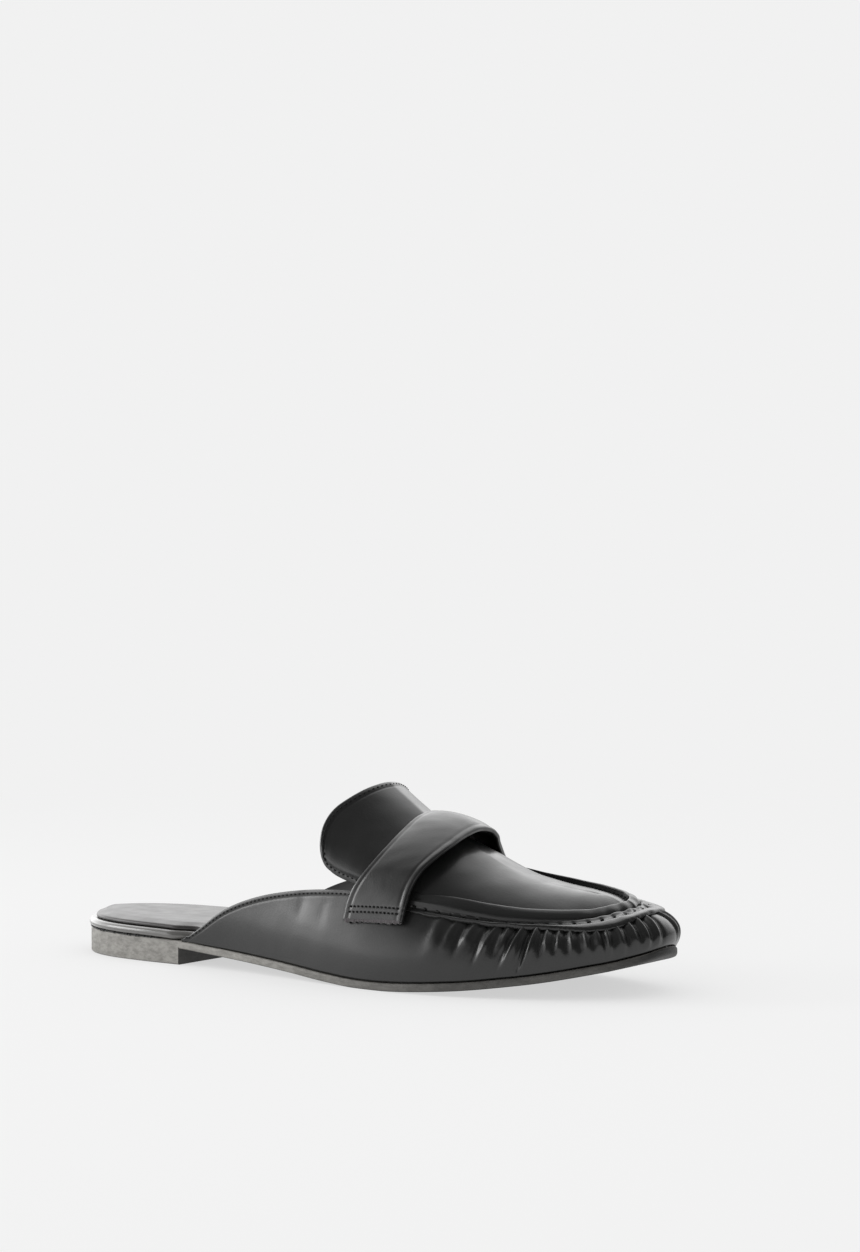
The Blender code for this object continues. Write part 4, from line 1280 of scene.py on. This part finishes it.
@dataclass(frozen=True)
class Studio:
    """Pale floor, soft light and the camera.

    background is what the camera sees, soft what lights plain surfaces; backdrop, ceiling, room
    and window are what glossy ones mirror. fade is where the floor turns plain, in metres.
    """
    background: float = 0.88
    backdrop: float = 1.9
    ceiling: float = 0.20
    room: float = 0.04
    window: float = 2.3
    soft: float = 0.85
    backdrop_way: tuple[float, float, float] = (-0.573, 0.819, 0.0)
    window_way: tuple[float, float, float] = (-0.945, -0.310, 0.0)
    floor_half: float = 6.0
    floor_glow: float = 0.58
    floor_colour: float = 0.35
    fade: tuple[float, float] = (0.30, 0.95)
    lamp_place: tuple[float, float, float] = (-1.05, -0.55, 0.42)
    lamp_aim: tuple[float, float, float] = (0.0, 0.0, 0.03)
    lamp_size: float = 0.45
    lamp_power: float = 3.0
    camera_place: tuple[float, float, float] = (0.72106, -0.79877, 0.13734)
    camera_way: tuple[float, float, float] = (-0.57338, 0.81927, -0.006135)
    lens: float = 74.68

    def floor(self) -> None:
        """Large flat sheet: part of it glows, so that shadows stay light, and far off all of it."""
        mesh = bpy.data.meshes.new("studio_floor")
        far = self.floor_half
        mesh.from_pydata([(-far, -far, 0), (far, -far, 0), (far, far, 0), (-far, far, 0)], [],
                         [(0, 1, 2, 3)])
        made = bpy.data.materials.new("studio_floor")
        nodes = Nodes(made)
        grey, white = self.floor_colour, (1.0, 1.0, 1.0, 1.0)
        plain = nodes.add("ShaderNodeBsdfDiffuse", Color=(grey, grey, grey, 1.0))
        glow = nodes.add("ShaderNodeEmission", Color=white, Strength=self.floor_glow)
        both = nodes.add("ShaderNodeAddShader", in0=plain.outputs[0], in1=glow.outputs[0])
        place = nodes.add("ShaderNodeTexCoord").outputs["Object"]
        distance = nodes.add("ShaderNodeVectorMath", set_operation="LENGTH", in0=place).outputs["Value"]
        away = nodes.spread(distance, *self.fade, 0.0, 1.0)
        plain_far = nodes.add("ShaderNodeEmission", Color=white, Strength=self.background)
        mixed = nodes.add("ShaderNodeMixShader", in0=away, in1=both.outputs[0], in2=plain_far.outputs[0])
        nodes.add("ShaderNodeOutputMaterial", Surface=mixed.outputs[0])
        mesh.materials.append(made)
        floor = bpy.data.objects.new("studio_floor", mesh)
        bpy.context.scene.collection.objects.link(floor)

    def world(self) -> None:
        """Light by direction: even for plain surfaces; for glossy ones a bright backdrop and a
        soft window at the left, with a dim ceiling and a dark room behind the camera.
        """
        world = bpy.data.worlds.new("studio")
        bpy.context.scene.world = world
        nodes = Nodes(world)
        way = nodes.add("ShaderNodeTexCoord").outputs["Generated"]
        high = nodes.add("ShaderNodeSeparateXYZ", Vector=way).outputs["Z"]

        def towards(direction: tuple[float, float, float]) -> bpy.types.NodeSocket:
            """Cosine of the angle between a ray and a direction."""
            return nodes.add("ShaderNodeVectorMath", set_operation="DOT_PRODUCT", in0=way,
                             in1=direction).outputs["Value"]

        backdrop = nodes.maths(
            "MULTIPLY", nodes.spread(towards(self.backdrop_way), 0.0, 0.75, 0.0, self.backdrop),
            nodes.spread(high, 0.10, 0.30, 0.40, 1.0))
        window = nodes.maths(
            "MULTIPLY", nodes.spread(towards(self.window_way), 0.30, 0.92, 0.0, self.window),
            nodes.spread(high, 0.06, 0.45, 1.0, 0.05))
        above = nodes.spread(high, 0.20, 0.80, self.room, self.ceiling)
        glossy = nodes.maths("ADD", nodes.maths("ADD", backdrop, window), above)
        path = nodes.add("ShaderNodeLightPath")
        level = nodes.add("ShaderNodeMix", Factor=path.outputs["Is Glossy Ray"], in2=self.soft,
                          in3=glossy).outputs[0]
        shade = nodes.add("ShaderNodeMix", Factor=path.outputs["Is Camera Ray"], in2=level,
                          in3=self.background).outputs[0]
        light = nodes.add("ShaderNodeBackground", Color=(1.0, 1.0, 1.0, 1.0), Strength=shade)
        nodes.add("ShaderNodeOutputWorld", Surface=light.outputs[0])

    @staticmethod
    def set_up(name: str, data: bpy.types.Light | bpy.types.Camera, place: np.ndarray,
               way: np.ndarray) -> bpy.types.Object:
        """Puts a light or camera at a place, its -Z along a direction and its Y upward."""
        made = bpy.data.objects.new(name, data)
        made.location = place
        made.rotation_euler = Vector(way).to_track_quat("-Z", "Y").to_euler()
        bpy.context.scene.collection.objects.link(made)
        return made

    def lamp(self) -> None:
        """Square soft lamp at the left, turned to the shoe."""
        data = bpy.data.lights.new("left_light", "AREA")
        data.size, data.energy = self.lamp_size, self.lamp_power
        place = np.array(self.lamp_place)
        self.set_up("left_light", data, place, np.array(self.lamp_aim) - place)

    def camera(self) -> None:
        """Camera solved on the sole's landmarks in the photograph."""
        data = bpy.data.cameras.new("camera")
        data.lens, data.sensor_width, data.sensor_fit = self.lens, 36.0, "AUTO"
        data.clip_start, data.clip_end = 0.05, 30.0
        place = np.array(self.camera_place) + Last().shift
        bpy.context.scene.camera = self.set_up("camera", data, place, np.array(self.camera_way))

    def build(self) -> None:
        """Floor, world, lamp and camera."""
        self.floor()
        self.world()
        self.lamp()
        self.camera()
        bpy.context.scene.view_settings.view_transform = "Standard"
        log.info("studio ready")


def main() -> None:
    """Builds each sub-assembly in order and logs its pieces."""
    last = Last()
    for maker in (Sole(last), Footbed(last), Insole(last), Vamp(last), Apron(last), Seam(last),
                  Strap(last)):
        made = maker.build()
        log.info("%s: %s", type(maker).__name__, ", ".join(o.name for o in made))
    Studio().build()


if __name__ == "__main__":
    main()
